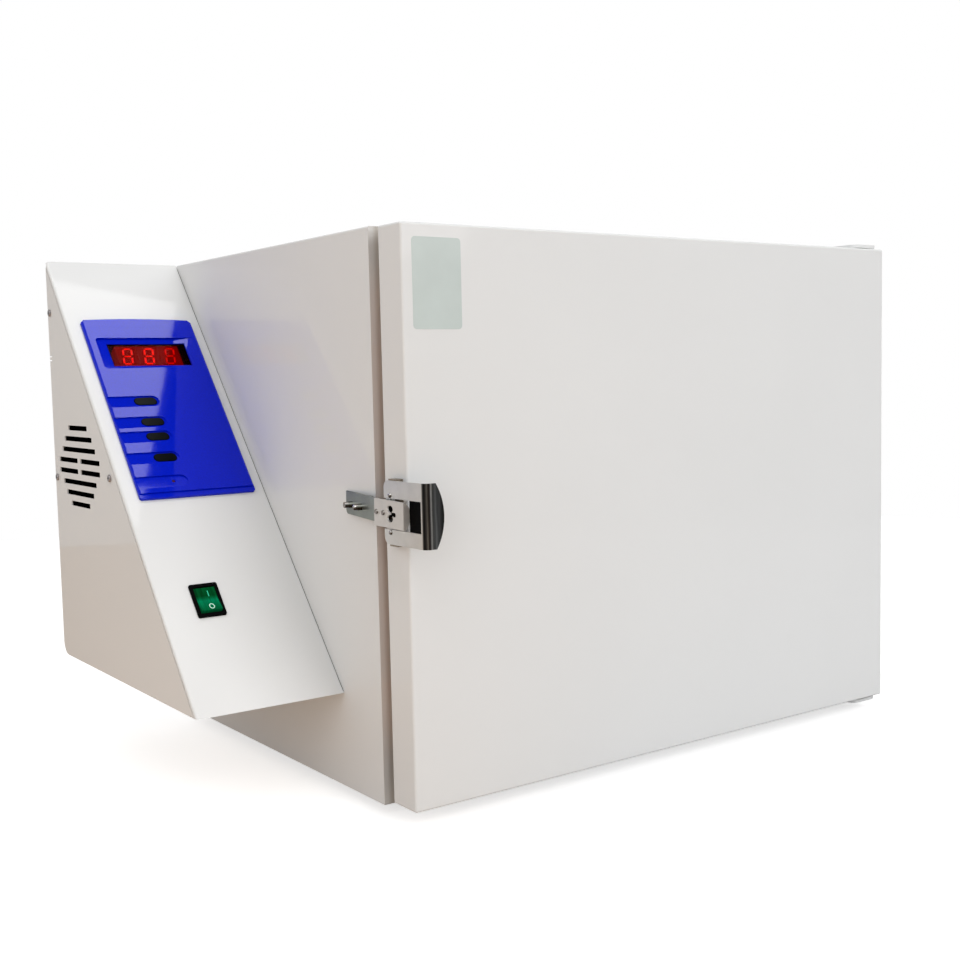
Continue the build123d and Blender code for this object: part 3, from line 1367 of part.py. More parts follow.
# drawn level, then tipped so that its upper half is pressed in
rocker_place = Plane(on_slope(switch_u, switch_v, -rocker_pivot), x_dir=slope_plane.y_dir, z_dir=(1, 0, 0))
rocker_place = Plane(rocker_place.location * Location((0, 0, 0), (0, 0, -rocker_swing / 2)))
rocker_rise = rocker_half * sin(radians(rocker_swing / 2))
with BuildPart() as power_rocker:
    with BuildSketch(rocker_place):
        with BuildLine():
            Polyline(
                (0, rocker_crease),
                (rocker_half, rocker_crease + rocker_rise),
                (rocker_half, -rocker_skirt),
                (-rocker_half, -rocker_skirt),
                (-rocker_half, rocker_crease + rocker_rise),
                close=True,
            )
        make_face()
    extrude(amount=rocker_width / 2, both=True)
    rocker_out = Axis(on_slope(0, 0), rocker_place.y_dir)
    fillet(power_rocker.edges().filter_by(GeomType.LINE).group_by(rocker_out)[-1], radius=0.8)
    with Locations(Location(on_slope(switch_u, switch_v, -rocker_pivot), (0, 90, 0))):
        Cylinder(rocker_pin_radius, rocker_width + 2 * rocker_pin_length)
finish(power_rocker.part, "power_rocker")

# ---------------------------------------------------------------- electrical parts in the control box
board_front = box_front + power_board_front
board_back = board_front + power_board_length
board_left = box_left + (box_width - power_board_width) / 2
board_right = board_left + power_board_width
pillar_low = box_floor + case_sheet
board_low = pillar_low + pillar_height
board_high = board_low + board_sheet
pillar_spots = [
    (x, y)
    for x in (board_left + pillar_inset, board_right - pillar_inset)
    for y in (board_front + pillar_inset, board_back - pillar_inset)
]
with BuildPart() as board_pillars:
    for pillar_x, pillar_y in pillar_spots:
        rod(pillar_radius, (pillar_x, pillar_y, pillar_low), "z", pillar_height)
finish(board_pillars.part, "board_pillars")

board_parts_right = board_right - 10
relay_back = board_back - 14
with BuildPart() as power_board:
    block((board_left, board_right), (board_front, board_back), (board_low, board_high))
    relay_x = (board_left + 12, board_left + 12 + relay_size[0])
    relay_y = (relay_back - relay_size[1], relay_back)
    block(relay_x, relay_y, (board_high, board_high + relay_size[2]))
    sink_x = (board_parts_right - sink_size[0], board_parts_right)
    sink_y = (relay_back - sink_size[1], relay_back)
    block(sink_x, sink_y, (board_high, board_high + sink_size[2]))
    fin_pitch = (sink_size[0] - sink_fin) / (sink_fins - 1)
    for fin in range(sink_fins - 1):
        gap_low = sink_x[0] + sink_fin + fin * fin_pitch
        gap_x = (gap_low, gap_low + fin_pitch - sink_fin)
        fin_gap = (board_high + sink_base, board_high + sink_size[2] + 1)
        block(gap_x, (sink_y[0] - 1, sink_y[1] + 1), fin_gap, Mode.SUBTRACT)
finish(power_board.part, "power_board")

with BuildPart() as transformer:
    core_x = (board_left + 14, board_left + 14 + transformer_size[0])
    core_y = (board_front + 36, board_front + 36 + transformer_size[1])
    block(core_x, core_y, (board_high, board_high + transformer_size[2]))
    coil_x = (core_x[0] + 10, core_x[1] - 10)
    coil_y = (core_y[0] - transformer_coil, core_y[1] + transformer_coil)
    block(coil_x, coil_y, (board_high + 6, board_high + transformer_size[2] - 6))
finish(transformer.part, "transformer")

with BuildPart() as terminal_block:
    terminal_x = (board_left + 8, board_left + 8 + terminal_size[0])
    terminal_y = (board_front + 8, board_front + 8 + terminal_size[1])
    block(terminal_x, terminal_y, (board_high, board_high + terminal_size[2]))
    way_pitch = terminal_size[0] / terminal_ways
    for way in range(terminal_ways):
        way_x = terminal_x[0] + (way + 0.5) * way_pitch
        way_top = board_high + terminal_size[2]
        rod(3.0, (way_x, terminal_y[1] - 5, way_top - 6), "z", 7, Mode.SUBTRACT)
        wire_y = (terminal_y[0] - 1, terminal_y[0] + 5)
        block((way_x - 3, way_x + 3), wire_y, (way_top - 9, way_top - 3), Mode.SUBTRACT)
finish(terminal_block.part, "terminal_block")

with BuildPart() as cord_gland:
    rod(gland_flange_radius, (gland_x, case_back, gland_z), "y", gland_flange)
    with BuildSketch(Plane.XZ.offset(-(case_back + gland_flange))):
        with Locations((gland_x, gland_z)):
            RegularPolygon(gland_radius + 1, 6)
    extrude(amount=-(gland_reach - gland_flange))
    rod(gland_radius, (gland_x, case_back - gland_inside, gland_z), "y", gland_inside)
    through = gland_inside + gland_reach + 2
    rod(gland_bore, (gland_x, case_back - gland_inside - 1, gland_z), "y", through, Mode.SUBTRACT)
finish(cord_gland.part, "cord_gland")
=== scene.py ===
# %% [markdown]
# # A bench-top dry heat sterilizer, dressed for its portrait
#
# The solid model is already built and its moving parts already turn. This lesson loads it as a fixed
# frame, sets up the studio and the camera, gives every part the finish of the real one, and then
# models the small things that only the eye needs: the glowing digits and the marks on the mains switch.
# All lengths are in metres, with X to the right, Y to the back and Z up.

# %% Load the frame
from math import cos, pi, radians, sin

import bmesh
import bpy
from mathutils import Matrix, Quaternion, Vector


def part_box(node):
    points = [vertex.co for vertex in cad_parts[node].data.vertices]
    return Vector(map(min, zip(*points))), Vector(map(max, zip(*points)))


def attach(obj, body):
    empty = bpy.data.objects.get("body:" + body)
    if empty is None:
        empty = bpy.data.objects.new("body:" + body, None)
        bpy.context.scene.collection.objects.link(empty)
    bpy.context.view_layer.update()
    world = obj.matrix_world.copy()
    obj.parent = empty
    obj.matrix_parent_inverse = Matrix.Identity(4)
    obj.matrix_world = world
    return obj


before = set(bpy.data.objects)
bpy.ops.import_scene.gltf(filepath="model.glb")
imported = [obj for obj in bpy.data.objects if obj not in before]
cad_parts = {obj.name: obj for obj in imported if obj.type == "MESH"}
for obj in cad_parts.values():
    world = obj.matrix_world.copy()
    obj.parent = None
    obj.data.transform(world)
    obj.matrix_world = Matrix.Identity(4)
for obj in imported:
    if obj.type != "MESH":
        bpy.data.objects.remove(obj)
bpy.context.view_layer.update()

# %% [markdown]
# ## The camera
#
# A photograph is matched by standing where the photographer stood. The camera is placed by its own
# position, a heading, a small downward tilt and a slight roll. The three axes of its view are worked out
# from those angles and put in a matrix, which is easier to keep exact than three stacked rotations.

# %% Camera
MM = 0.001
PHOTO_SIZE = 960
FOCAL_PIXELS = 1281.25
SENSOR = 36.0

heading, tilt, roll = radians(35.47), radians(-4.77), radians(-1.30)
forward = Vector((sin(heading) * cos(tilt), cos(heading) * cos(tilt), sin(tilt)))
level_right = Vector((cos(heading), -sin(heading), 0))
level_up = level_right.cross(forward)
right = level_right * cos(roll) + level_up * sin(roll)
up = level_up * cos(roll) - level_right * sin(roll)

camera_data = bpy.data.cameras.new("portrait_camera")
camera_data.sensor_width = SENSOR
camera_data.lens = FOCAL_PIXELS / PHOTO_SIZE * SENSOR
camera_data.clip_start = 0.05
camera_data.clip_end = 50
camera = bpy.data.objects.new("portrait_camera", camera_data)
camera.matrix_world = Matrix((right, up, -forward)).transposed().to_4x4()
camera.location = (-0.72420, -1.00865, 0.34825)
bpy.context.scene.collection.objects.link(camera)
bpy.context.scene.camera = camera
print("lens", round(camera_data.lens, 2), "mm")

# %% [markdown]
# ## Studio
#
# White instruments are photographed against white, but not inside a white ball: the room behind the
# photographer is dark, and that darkness is what gives polished steel its contrast. So the camera sees
# plain white, while every other ray sees a room: a bright ceiling, white walls behind and beside the
# instrument, and a dark quarter in front of it, near the horizon. One more dark disc hangs under the ceiling,
# where the sloping panel would mirror it: photographers hang a black cloth there, called a flag, to keep a
# deep colour deep. The room is a function of direction only.

# %% Surroundings
ROOM_LIGHT = 0.64
DARK_QUARTER = 0.06
FLAG_DIRECTION = (0.46, -0.32, 0.83)
FLAG_EDGE = (0.84, 0.90)


def span_of(tree, value, low, high):
    """0 to 1 as a value goes from low to high, with soft ends."""
    mapped = tree.nodes.new("ShaderNodeMapRange")
    mapped.interpolation_type = "SMOOTHSTEP"
    mapped.inputs["From Min"].default_value = low
    mapped.inputs["From Max"].default_value = high
    tree.links.new(value, mapped.inputs["Value"])
    return mapped.outputs["Result"]


def combine(tree, operation, first, second):
    """One Math node on two sockets, or on a socket and a number."""
    node = tree.nodes.new("ShaderNodeMath")
    node.operation = operation
    tree.links.new(first, node.inputs[0])
    if isinstance(second, float):
        node.inputs[1].default_value = second
    else:
        tree.links.new(second, node.inputs[1])
    return node.outputs[0]


world = bpy.data.worlds.new("studio")
bpy.context.scene.world = world
world.use_nodes = True
world_tree = world.node_tree
direction = world_tree.nodes.new("ShaderNodeTexCoord")
room_axes = world_tree.nodes.new("ShaderNodeSeparateXYZ")
world_tree.links.new(direction.outputs["Generated"], room_axes.inputs["Vector"])
to_back = span_of(world_tree, room_axes.outputs["Y"], -0.45, 0.15)
to_ceiling = span_of(world_tree, room_axes.outputs["Z"], 0.25, 0.60)
to_left = span_of(world_tree, combine(world_tree, "MULTIPLY", room_axes.outputs["X"], -1.0), 0.35, 0.75)
lit = combine(world_tree, "MAXIMUM", combine(world_tree, "MAXIMUM", to_back, to_ceiling), to_left)
toward_flag = world_tree.nodes.new("ShaderNodeVectorMath")
toward_flag.operation = "DOT_PRODUCT"
toward_flag.inputs[1].default_value = Vector(FLAG_DIRECTION).normalized()
world_tree.links.new(direction.outputs["Generated"], toward_flag.inputs[0])
flagged = span_of(world_tree, toward_flag.outputs["Value"], *FLAG_EDGE)
unlit = combine(world_tree, "SUBTRACT", lit, flagged)
room = world_tree.nodes.new("ShaderNodeMapRange")
room.inputs["To Min"].default_value = DARK_QUARTER
room.inputs["To Max"].default_value = ROOM_LIGHT
world_tree.links.new(unlit, room.inputs["Value"])
eye_path = world_tree.nodes.new("ShaderNodeLightPath")
straight = combine(world_tree, "MAXIMUM", eye_path.outputs["Is Camera Ray"], eye_path.outputs["Is Transmission Ray"])
background = world_tree.nodes["Background"]
background.inputs["Color"].default_value = (1.0, 1.0, 1.0, 1.0)
world_tree.links.new(combine(world_tree, "MAXIMUM", straight, room.outputs["Result"]), background.inputs["Strength"])
bpy.context.scene.view_settings.view_transform = "Standard"
print("room light", ROOM_LIGHT, "dark quarter", DARK_QUARTER)

# %% [markdown]
# ## Lamps
#
# Four soft boxes do the modelling. The narrow one overhead is what the glossy slope mirrors: its right edge
# cuts the blue panel in two, pale on the left and deep blue on the right, so its place was found by
# following that mirrored edge back to the ceiling. The ones in the corner and at the left light the slope and
# both left sides, the one in front lights the door. A soft box's brightness is its power divided by pi
# and by its area.

# %% Soft boxes
def lamp(name, place, target, width, length, brightness, turn=0.0):
    """A rectangular soft box that looks at a point, turned about the upright axis."""
    data = bpy.data.lights.new(name, "AREA")
    data.shape = "RECTANGLE"
    data.size = width
    data.size_y = length
    data.energy = brightness * pi * width * length
    soft_box = bpy.data.objects.new(name, data)
    look = (Vector(target) - Vector(place)).to_track_quat("-Z", "Y")
    soft_box.rotation_euler = (Quaternion((0, 0, 1), radians(turn)) @ look).to_euler()
    soft_box.location = place
    bpy.context.scene.collection.objects.link(soft_box)


lamp("overhead_soft_box", (0.126, -0.28, 2.60), (0.126, -0.28, 0.0), 1.0, 0.64, 7.2, -9.0)
lamp("corner_soft_box", (-1.1, -1.2, 2.0), (-0.15, 0.0, 0.25), 1.0, 1.0, 1.2)
lamp("front_soft_box", (0.75, -2.7, 1.5), (0.0, 0.0, 0.25), 1.7, 1.7, 4.7)
lamp("left_soft_box", (-2.0, -1.3, 0.9), (-0.25, 0.0, 0.25), 1.3, 1.3, 1.15)

# %% [markdown]
# ## Small tools for meshes
#
# A finished piece sits at the origin with its place in its mesh. So each piece starts as a `bmesh`,
# is shaped by operators, is moved by a matrix, and only then becomes an object.

# %% Mesh tools
def make_piece(name, mesh_work, material, body, smooth=False):
    """Turns a bmesh into an object that rides on a body."""
    bmesh.ops.recalc_face_normals(mesh_work, faces=mesh_work.faces)
    mesh = bpy.data.meshes.new(name)
    mesh_work.to_mesh(mesh)
    mesh_work.free()
    mesh.materials.append(material)
    if smooth:
        mesh.shade_smooth()
    piece = bpy.data.objects.new(name, mesh)
    bpy.context.scene.collection.objects.link(piece)
    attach(piece, body)
    return piece


def stage_piece(name, mesh_work, material):
    """Turns a bmesh into a part of the studio."""
    mesh = bpy.data.meshes.new(name)
    mesh_work.to_mesh(mesh)
    mesh_work.free()
    mesh.materials.append(material)
    scenery = bpy.data.objects.new(name, mesh)
    bpy.context.scene.collection.objects.link(scenery)


# %% [markdown]
# ## A kit for finishes
#
# Painted, moulded and plated parts differ in colour, gloss and grain, but each is built in one way:
# a slow noise shifts the colour a little, another shifts the roughness, and a fine one lifts the surface.
# The noise reads Object coordinates, which are metres here, so a grain of half a millimetre needs a scale
# near 2000.

# %% Finish tools
def shader_of(material):
    return material.node_tree.nodes["Principled BSDF"]


def add_noise(tree, scale, detail=2.0, stretch=(1.0, 1.0, 1.0), turn=(0.0, 0.0, 0.0)):
    """Noise on Object coordinates, stretched or turned by a Mapping node."""
    place = tree.nodes.new("ShaderNodeTexCoord")
    mapping = tree.nodes.new("ShaderNodeMapping")
    mapping.inputs["Scale"].default_value = stretch
    mapping.inputs["Rotation"].default_value = turn
    noise = tree.nodes.new("ShaderNodeTexNoise")
    noise.inputs["Scale"].default_value = scale
    noise.inputs["Detail"].default_value = detail
    tree.links.new(place.outputs["Object"], mapping.inputs["Vector"])
    tree.links.new(mapping.outputs["Vector"], noise.inputs["Vector"])
    return noise


def add_ramp(tree, value, stops):
    """A colour ramp from (position, colour) stops."""
    ramp = tree.nodes.new("ShaderNodeValToRGB")
    elements = ramp.color_ramp.elements
    for place, (position, colour) in enumerate(stops):
        stop = elements[place] if place < 2 else elements.new(position)
        stop.position = position
        stop.color = (*colour, 1.0)
    tree.links.new(value, ramp.inputs["Fac"])
    return ramp


def add_range(tree, value, low, high, from_low=0.3, from_high=0.7):
    """Maps a noise's usual span to low..high."""
    mapped = tree.nodes.new("ShaderNodeMapRange")
    mapped.inputs["From Min"].default_value = from_low
    mapped.inputs["From Max"].default_value = from_high
    mapped.inputs["To Min"].default_value = low
    mapped.inputs["To Max"].default_value = high
    tree.links.new(value, mapped.inputs["Value"])
    return mapped


def add_bump(tree, height, strength, distance):
    """Bump from a height value, in metres."""
    bump = tree.nodes.new("ShaderNodeBump")
    bump.inputs["Strength"].default_value = strength
    bump.inputs["Distance"].default_value = distance
    tree.links.new(height, bump.inputs["Height"])
    tree.links.new(bump.outputs["Normal"], tree.nodes["Principled BSDF"].inputs["Normal"])
    return bump


def new_finish(name, colour, shift=0.03, patch=12.0, rough=(0.3, 0.36), grain=1500.0, lift=0.00002,
               strength=0.3, metal=0.0, stretch=(1.0, 1.0, 1.0), specular=0.5):
    """A finish whose colour, gloss and surface each vary a little."""
    material = bpy.data.materials.new(name)
    material.use_nodes = True
    tree = material.node_tree
    shader = shader_of(material)
    shader.inputs["Metallic"].default_value = metal
    shader.inputs["Specular IOR Level"].default_value = specular
    patches = add_noise(tree, patch, 4.0)
    darker = tuple(value * (1 - shift) for value in colour)
    lighter = tuple(min(1.0, value * (1 + shift)) for value in colour)
    tint = add_ramp(tree, patches.outputs["Fac"], [(0.3, darker), (0.7, lighter)])
    tree.links.new(tint.outputs["Color"], shader.inputs["Base Color"])
    fine = add_noise(tree, grain, 3.0, stretch)
    gloss = add_range(tree, fine.outputs["Fac"], *rough)
    tree.links.new(gloss.outputs["Result"], shader.inputs["Roughness"])
    add_bump(tree, fine.outputs["Fac"], strength, lift)
    material.diffuse_color = (*colour, 1.0)
    return material


def dress(material, *node_names):
    """Gives solid parts of the frame this finish."""
    for node_name in node_names:
        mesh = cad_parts[node_name].data
        if not mesh.materials:
            mesh.materials.append(material)
        for place in range(len(mesh.materials)):
            mesh.materials[place] = material
    print(material.name, "on", len(node_names), "parts")


# %% [markdown]
# ## Floor
#
# The floor is a round sheet. To the camera it glows a little, just enough to reach white where no shadow
# falls, so its edge can't be seen and the soft shadow under the instrument stays. For the light that it throws
# back it is a warm grey, like a wooden bench under paper, which warms the shaded foot of the cabinet.

# %% Floor
FLOOR_RADIUS = 1.9
FLOOR_GLOW = 0.62
BENCH_WARM = (0.72, 0.53, 0.38)
BENCH_PLAIN = (0.58, 0.57, 0.57)
floor_paint = bpy.data.materials.new("studio_floor")
floor_paint.use_nodes = True
floor_tree = floor_paint.node_tree
floor_shader = shader_of(floor_paint)
floor_shader.inputs["Roughness"].default_value = 0.9
floor_shader.inputs["Specular IOR Level"].default_value = 0.0
floor_shader.inputs["Emission Color"].default_value = (1.0, 1.0, 1.0, 1.0)
floor_path = floor_tree.nodes.new("ShaderNodeLightPath")
floor_place = floor_tree.nodes.new("ShaderNodeTexCoord")
floor_axes = floor_tree.nodes.new("ShaderNodeSeparateXYZ")
floor_tree.links.new(floor_place.outputs["Object"], floor_axes.inputs["Vector"])
from_left = add_range(floor_tree, floor_axes.outputs["X"], 0.0, 1.0, -0.45, 0.0)
bounce_tone = add_ramp(floor_tree, from_left.outputs["Result"], [(0.0, BENCH_WARM), (1.0, BENCH_PLAIN)])
floor_tone = floor_tree.nodes.new("ShaderNodeMix")
floor_tone.data_type = "RGBA"
floor_tone.inputs["B"].default_value = (0.80, 0.80, 0.80, 1.0)
floor_tree.links.new(floor_path.outputs["Is Camera Ray"], floor_tone.inputs["Factor"])
floor_tree.links.new(bounce_tone.outputs["Color"], floor_tone.inputs["A"])
floor_tree.links.new(floor_tone.outputs["Result"], floor_shader.inputs["Base Color"])
floor_tree.links.new(combine(floor_tree, "MULTIPLY", floor_path.outputs["Is Camera Ray"], FLOOR_GLOW),
                     floor_shader.inputs["Emission Strength"])
floor_work = bmesh.new()
bmesh.ops.create_circle(floor_work, cap_ends=True, segments=96, radius=FLOOR_RADIUS)
stage_piece("floor", floor_work, floor_paint)
print("floor reaches", FLOOR_RADIUS, "m each way")

# %% [markdown]
# ## Powder coat
#
# The cabinet, the door and the control box are sheet steel with a glossy white powder coat. Such a coat has a very shallow
# orange peel, about two millimetres from crest to crest. Too deep a peel would break up the reflection of
# the control box in the cabinet's side, so the bump stays at a few hundredths of a millimetre.

# %% White powder coat
white_coat = new_finish("white_powder_coat", (0.79, 0.797, 0.795), 0.008, 6.0, (0.02, 0.05), 520.0, 0.00001, 0.03,
                        specular=0.11)
coat_tree = white_coat.node_tree
coat_shader = shader_of(white_coat)
coat_place = coat_tree.nodes.new("ShaderNodeTexCoord")
coat_axes = coat_tree.nodes.new("ShaderNodeSeparateXYZ")
coat_tree.links.new(coat_place.outputs["Object"], coat_axes.inputs["Vector"])


def lay_over(tree, mask, over):
    """Lays a colour over the base colour where a mask is 1."""
    base = tree.nodes["Principled BSDF"].inputs["Base Color"]
    layers = tree.nodes.new("ShaderNodeMix")
    layers.data_type = "RGBA"
    tree.links.new(mask, layers.inputs["Factor"])
    tree.links.new(base.links[0].from_socket, layers.inputs["A"])
    tree.links.new(over, layers.inputs["B"])
    tree.links.new(layers.outputs["Result"], base)


# %% [markdown]
# Inside the control box the sheets' inner faces are painted near-black, a painted shade that makes its
# slots look black. A point is inside where it lies behind the slope, above the box's floor and between its two
# sides, each by more than the sheet's thickness.

# %% Painted shade inside the control box
SHEET = 1.1 * MM
box_low, box_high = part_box("control_wrap")
side_low, side_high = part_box("control_side")
slope_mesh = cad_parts["control_front"].data
slope_face = max(slope_mesh.polygons, key=lambda face: face.area if face.normal.z > 0.1 else 0.0)
slope_level = max(vertex.co.dot(slope_face.normal) for vertex in slope_mesh.vertices)
behind = coat_tree.nodes.new("ShaderNodeVectorMath")
behind.operation = "DOT_PRODUCT"
behind.inputs[1].default_value = slope_face.normal
coat_tree.links.new(coat_place.outputs["Object"], behind.inputs[0])
depth = combine(coat_tree, "MULTIPLY_ADD", behind.outputs["Value"], -1.0)
depth.node.inputs[2].default_value = slope_level - SHEET
depth = combine(coat_tree, "MINIMUM", depth, combine(coat_tree, "SUBTRACT", coat_axes.outputs["Z"],
                                                     box_low[2] + SHEET))
depth = combine(coat_tree, "MINIMUM", depth, combine(coat_tree, "SUBTRACT", coat_axes.outputs["X"],
                                                     side_low[0] + SHEET))
right_limit = combine(coat_tree, "MULTIPLY_ADD", coat_axes.outputs["X"], -1.0)
right_limit.node.inputs[2].default_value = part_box("outer_shell")[0][0] + SHEET / 2
back_limit = combine(coat_tree, "MULTIPLY_ADD", coat_axes.outputs["Y"], -1.0)
back_limit.node.inputs[2].default_value = box_high[1] - SHEET
top_limit = combine(coat_tree, "MULTIPLY_ADD", coat_axes.outputs["Z"], -1.0)
top_limit.node.inputs[2].default_value = box_high[2] - SHEET
for limit in (right_limit, back_limit, top_limit):
    depth = combine(coat_tree, "MINIMUM", depth, limit)
inside_box = combine(coat_tree, "GREATER_THAN", depth, 0.0)
# Painted shade: a near-black colour laid over the inside faces of the control box.
inside_shade_noise = add_noise(coat_tree, 90.0, 3.0)
inside_painted_shade = add_ramp(coat_tree, inside_shade_noise.outputs["Fac"], [(0.3, (0.003, 0.003, 0.003)), (0.7, (0.006, 0.006, 0.006))])
lay_over(coat_tree, inside_box, inside_painted_shade.outputs["Color"])
print("slope lies at", round(slope_level, 4), "m along its normal")

# %% [markdown]
# Two more places in the coat carry painted shade. The narrow flange that the gap behind the door shows is
# painted darker and browner towards the chamber, deeper into the gap. And a near-black patch is painted on the
# door's edge behind the catch plate, which only the plate's three round holes show.

# %% Painted shade on the flange and behind the catch plate
FLANGE_SHOWN = 14 * MM
flange_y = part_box("outer_shell")[0][1]
on_flange = combine(coat_tree, "COMPARE", coat_axes.outputs["Y"], flange_y)
on_flange.node.inputs[2].default_value = 0.5 * MM
flange_across = add_range(coat_tree, coat_axes.outputs["X"], 0.0, 1.0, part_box("outer_shell")[0][0],
                          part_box("outer_shell")[0][0] + FLANGE_SHOWN)
# Painted shade: the flange turns darker and browner across its width, into the door's gap.
flange_gap_shade = add_ramp(coat_tree, flange_across.outputs["Result"], [
    (0.0, (0.74, 0.735, 0.72)), (0.25, (0.68, 0.67, 0.65)), (0.5, (0.50, 0.47, 0.43))])
lay_over(coat_tree, on_flange, flange_gap_shade.outputs["Color"])

plate_low, plate_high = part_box("catch_plate")
door_low, door_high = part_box("door_skin")
PATCH_REACH = (2.0 * MM, 10.0 * MM, 11.0 * MM)
patch_centre = Vector((door_low[0], door_high[1] - 7.5 * MM, (plate_low[2] + plate_high[2]) / 2 - 1.0 * MM))
patch_place = coat_tree.nodes.new("ShaderNodeMapping")
patch_place.vector_type = "TEXTURE"
patch_place.inputs["Location"].default_value = patch_centre
patch_place.inputs["Scale"].default_value = PATCH_REACH
coat_tree.links.new(coat_place.outputs["Object"], patch_place.inputs["Vector"])
patch_far = coat_tree.nodes.new("ShaderNodeVectorMath")
patch_far.operation = "LENGTH"
coat_tree.links.new(patch_place.outputs["Vector"], patch_far.inputs[0])
# Painted shade: a near-black patch with a ragged rim on the door's edge behind the catch plate.
patch_edge = add_noise(coat_tree, 400.0, 3.0)
ragged = combine(coat_tree, "ADD", patch_far.outputs["Value"], patch_edge.outputs["Fac"])
shade_patch_mask = add_range(coat_tree, ragged, 1.0, 0.0, 1.35, 1.60)
shade_patch_colour = add_ramp(coat_tree, patch_edge.outputs["Fac"], [(0.3, (0.006, 0.006, 0.005)), (0.7, (0.012, 0.011, 0.010))])
lay_over(coat_tree, shade_patch_mask.outputs["Result"], shade_patch_colour.outputs["Color"])
dress(white_coat, "outer_shell", "base_pan", "rear_panel", "door_skin", "hinge_brackets", "control_front",
      "control_side", "control_wrap")

# %% [markdown]
# ## Front frame
#
# Behind the door a painted frame surrounds the chamber's mouth. It is given painted shade, darker and browner towards
# the bottom of the door's gap. The height of each point picks its place on a ramp.

# %% Front frame
frame_coat = new_finish("frame_painted_low_shade", (0.66, 0.61, 0.55), 0.05, 9.0, (0.28, 0.38), 520.0)
frame_tree = frame_coat.node_tree
frame_place = frame_tree.nodes.new("ShaderNodeTexCoord")
frame_axes = frame_tree.nodes.new("ShaderNodeSeparateXYZ")
frame_tree.links.new(frame_place.outputs["Object"], frame_axes.inputs["Vector"])
frame_height = add_range(frame_tree, frame_axes.outputs["Z"], 0.0, 1.0, 0.02, 0.45)
# Painted shade: dark brown at the bottom of the frame, light at the top.
frame_low_shade = add_ramp(frame_tree, frame_height.outputs["Result"],
                   [(0.0, (0.36, 0.29, 0.22)), (0.5, (0.56, 0.51, 0.45)), (1.0, (0.74, 0.72, 0.69))])
frame_tree.links.new(frame_low_shade.outputs["Color"], shader_of(frame_coat).inputs["Base Color"])
dress(frame_coat, "front_frame")

# %% [markdown]
# ## Stainless steel
#
# The liner, the racks, the shelves and the door's inner panel are brushed stainless. Brushing is drawn as
# noise that is stretched forty times along one direction.

# %% Stainless and other bare metals
stainless = new_finish("brushed_stainless", (0.62, 0.61, 0.59), 0.05, 8.0, (0.24, 0.40), 26.0, 0.00001, 0.25, 1.0, (1.0, 40.0, 40.0))
dress(stainless, "chamber_liner", "door_panel", "air_baffle", "left_shelf_rack", "right_shelf_rack", "lower_shelf",
      "middle_shelf", "upper_shelf")
bright_pin = new_finish("turned_steel", (0.66, 0.65, 0.63), 0.06, 60.0, (0.18, 0.30), 900.0, 0.00001, 0.3, 1.0)
dress(bright_pin, "hinge_pins", "temperature_probe")
spun_aluminium = new_finish("stamped_aluminium", (0.60, 0.60, 0.61), 0.05, 30.0, (0.30, 0.42), 700.0, 0.00002, 0.3, 1.0)
dress(spun_aluminium, "fan_rotor")
sheath = new_finish("heater_sheath", (0.16, 0.13, 0.11), 0.25, 25.0, (0.38, 0.55), 800.0, 0.00003, 0.4, 1.0)
dress(sheath, "ring_heater")
bronze = new_finish("bearing_bronze", (0.42, 0.28, 0.12), 0.08, 50.0, (0.30, 0.45), 900.0, 0.00002, 0.3, 1.0)
dress(bronze, "hinge_bushes")

# %% [markdown]
# ## Inside parts
#
# Mineral wool is a mat of fibres, so its noise is stretched flat and its bump is deep. Moulded and wound parts inside
# the control box are seen only with the sheets off, but each has its own plain finish.

# %% Wool, board, mouldings
wool = new_finish("mineral_wool", (0.58, 0.50, 0.28), 0.22, 40.0, (0.85, 0.98), 420.0, 0.0012, 0.9, 0.0, (1.0, 1.0, 5.0), 0.1)
dress(wool, "chamber_insulation", "door_insulation")
board_green = new_finish("solder_resist", (0.02, 0.16, 0.06), 0.15, 300.0, (0.22, 0.40), 700.0, 0.00004, 0.5)
dress(board_green, "control_board", "power_board")
motor_paint = new_finish("motor_enamel", (0.04, 0.04, 0.045), 0.15, 40.0, (0.35, 0.5), 900.0, 0.00004, 0.4)
dress(motor_paint, "fan_motor", "transformer")
grey_moulding = new_finish("terminal_moulding", (0.42, 0.42, 0.40), 0.06, 60.0, (0.45, 0.55), 1200.0)
dress(grey_moulding, "terminal_block")
ceramic = new_finish("steatite_ceramic", (0.78, 0.74, 0.66), 0.06, 90.0, (0.5, 0.65), 1100.0)
dress(ceramic, "heater_terminals")
black_moulding = new_finish("black_moulding", (0.006, 0.006, 0.007), 0.15, 50.0, (0.28, 0.38), 1500.0, 0.00003, 0.35)
dress(black_moulding, "cord_gland", "tact_switches", "board_pillars")
matt_black = new_finish("matt_black_moulding", (0.0010, 0.0010, 0.0012), 0.15, 50.0, (0.45, 0.60), 1500.0, 0.00003,
                        0.35, specular=0.03)
dress(matt_black, "switch_housing", "latch_cam")
foot_rubber = new_finish("foot_rubber", (0.03, 0.03, 0.03), 0.2, 60.0, (0.65, 0.8), 1300.0, 0.00006, 0.5, 0.0, (1, 1, 1), 0.3)
dress(foot_rubber, "rubber_feet")

# %% [markdown]
# ## Silicone seal
#
# The ring on the door is iron-red silicone. Where it has been squeezed against the hot frame it has gone darker, in blotches.

# %% Silicone seal
silicone = new_finish("iron_red_silicone", (0.50, 0.20, 0.07), 0.18, 28.0, (0.42, 0.55), 900.0, 0.00005, 0.4, 0.0, (1, 1, 1), 0.4)
dress(silicone, "door_seal")
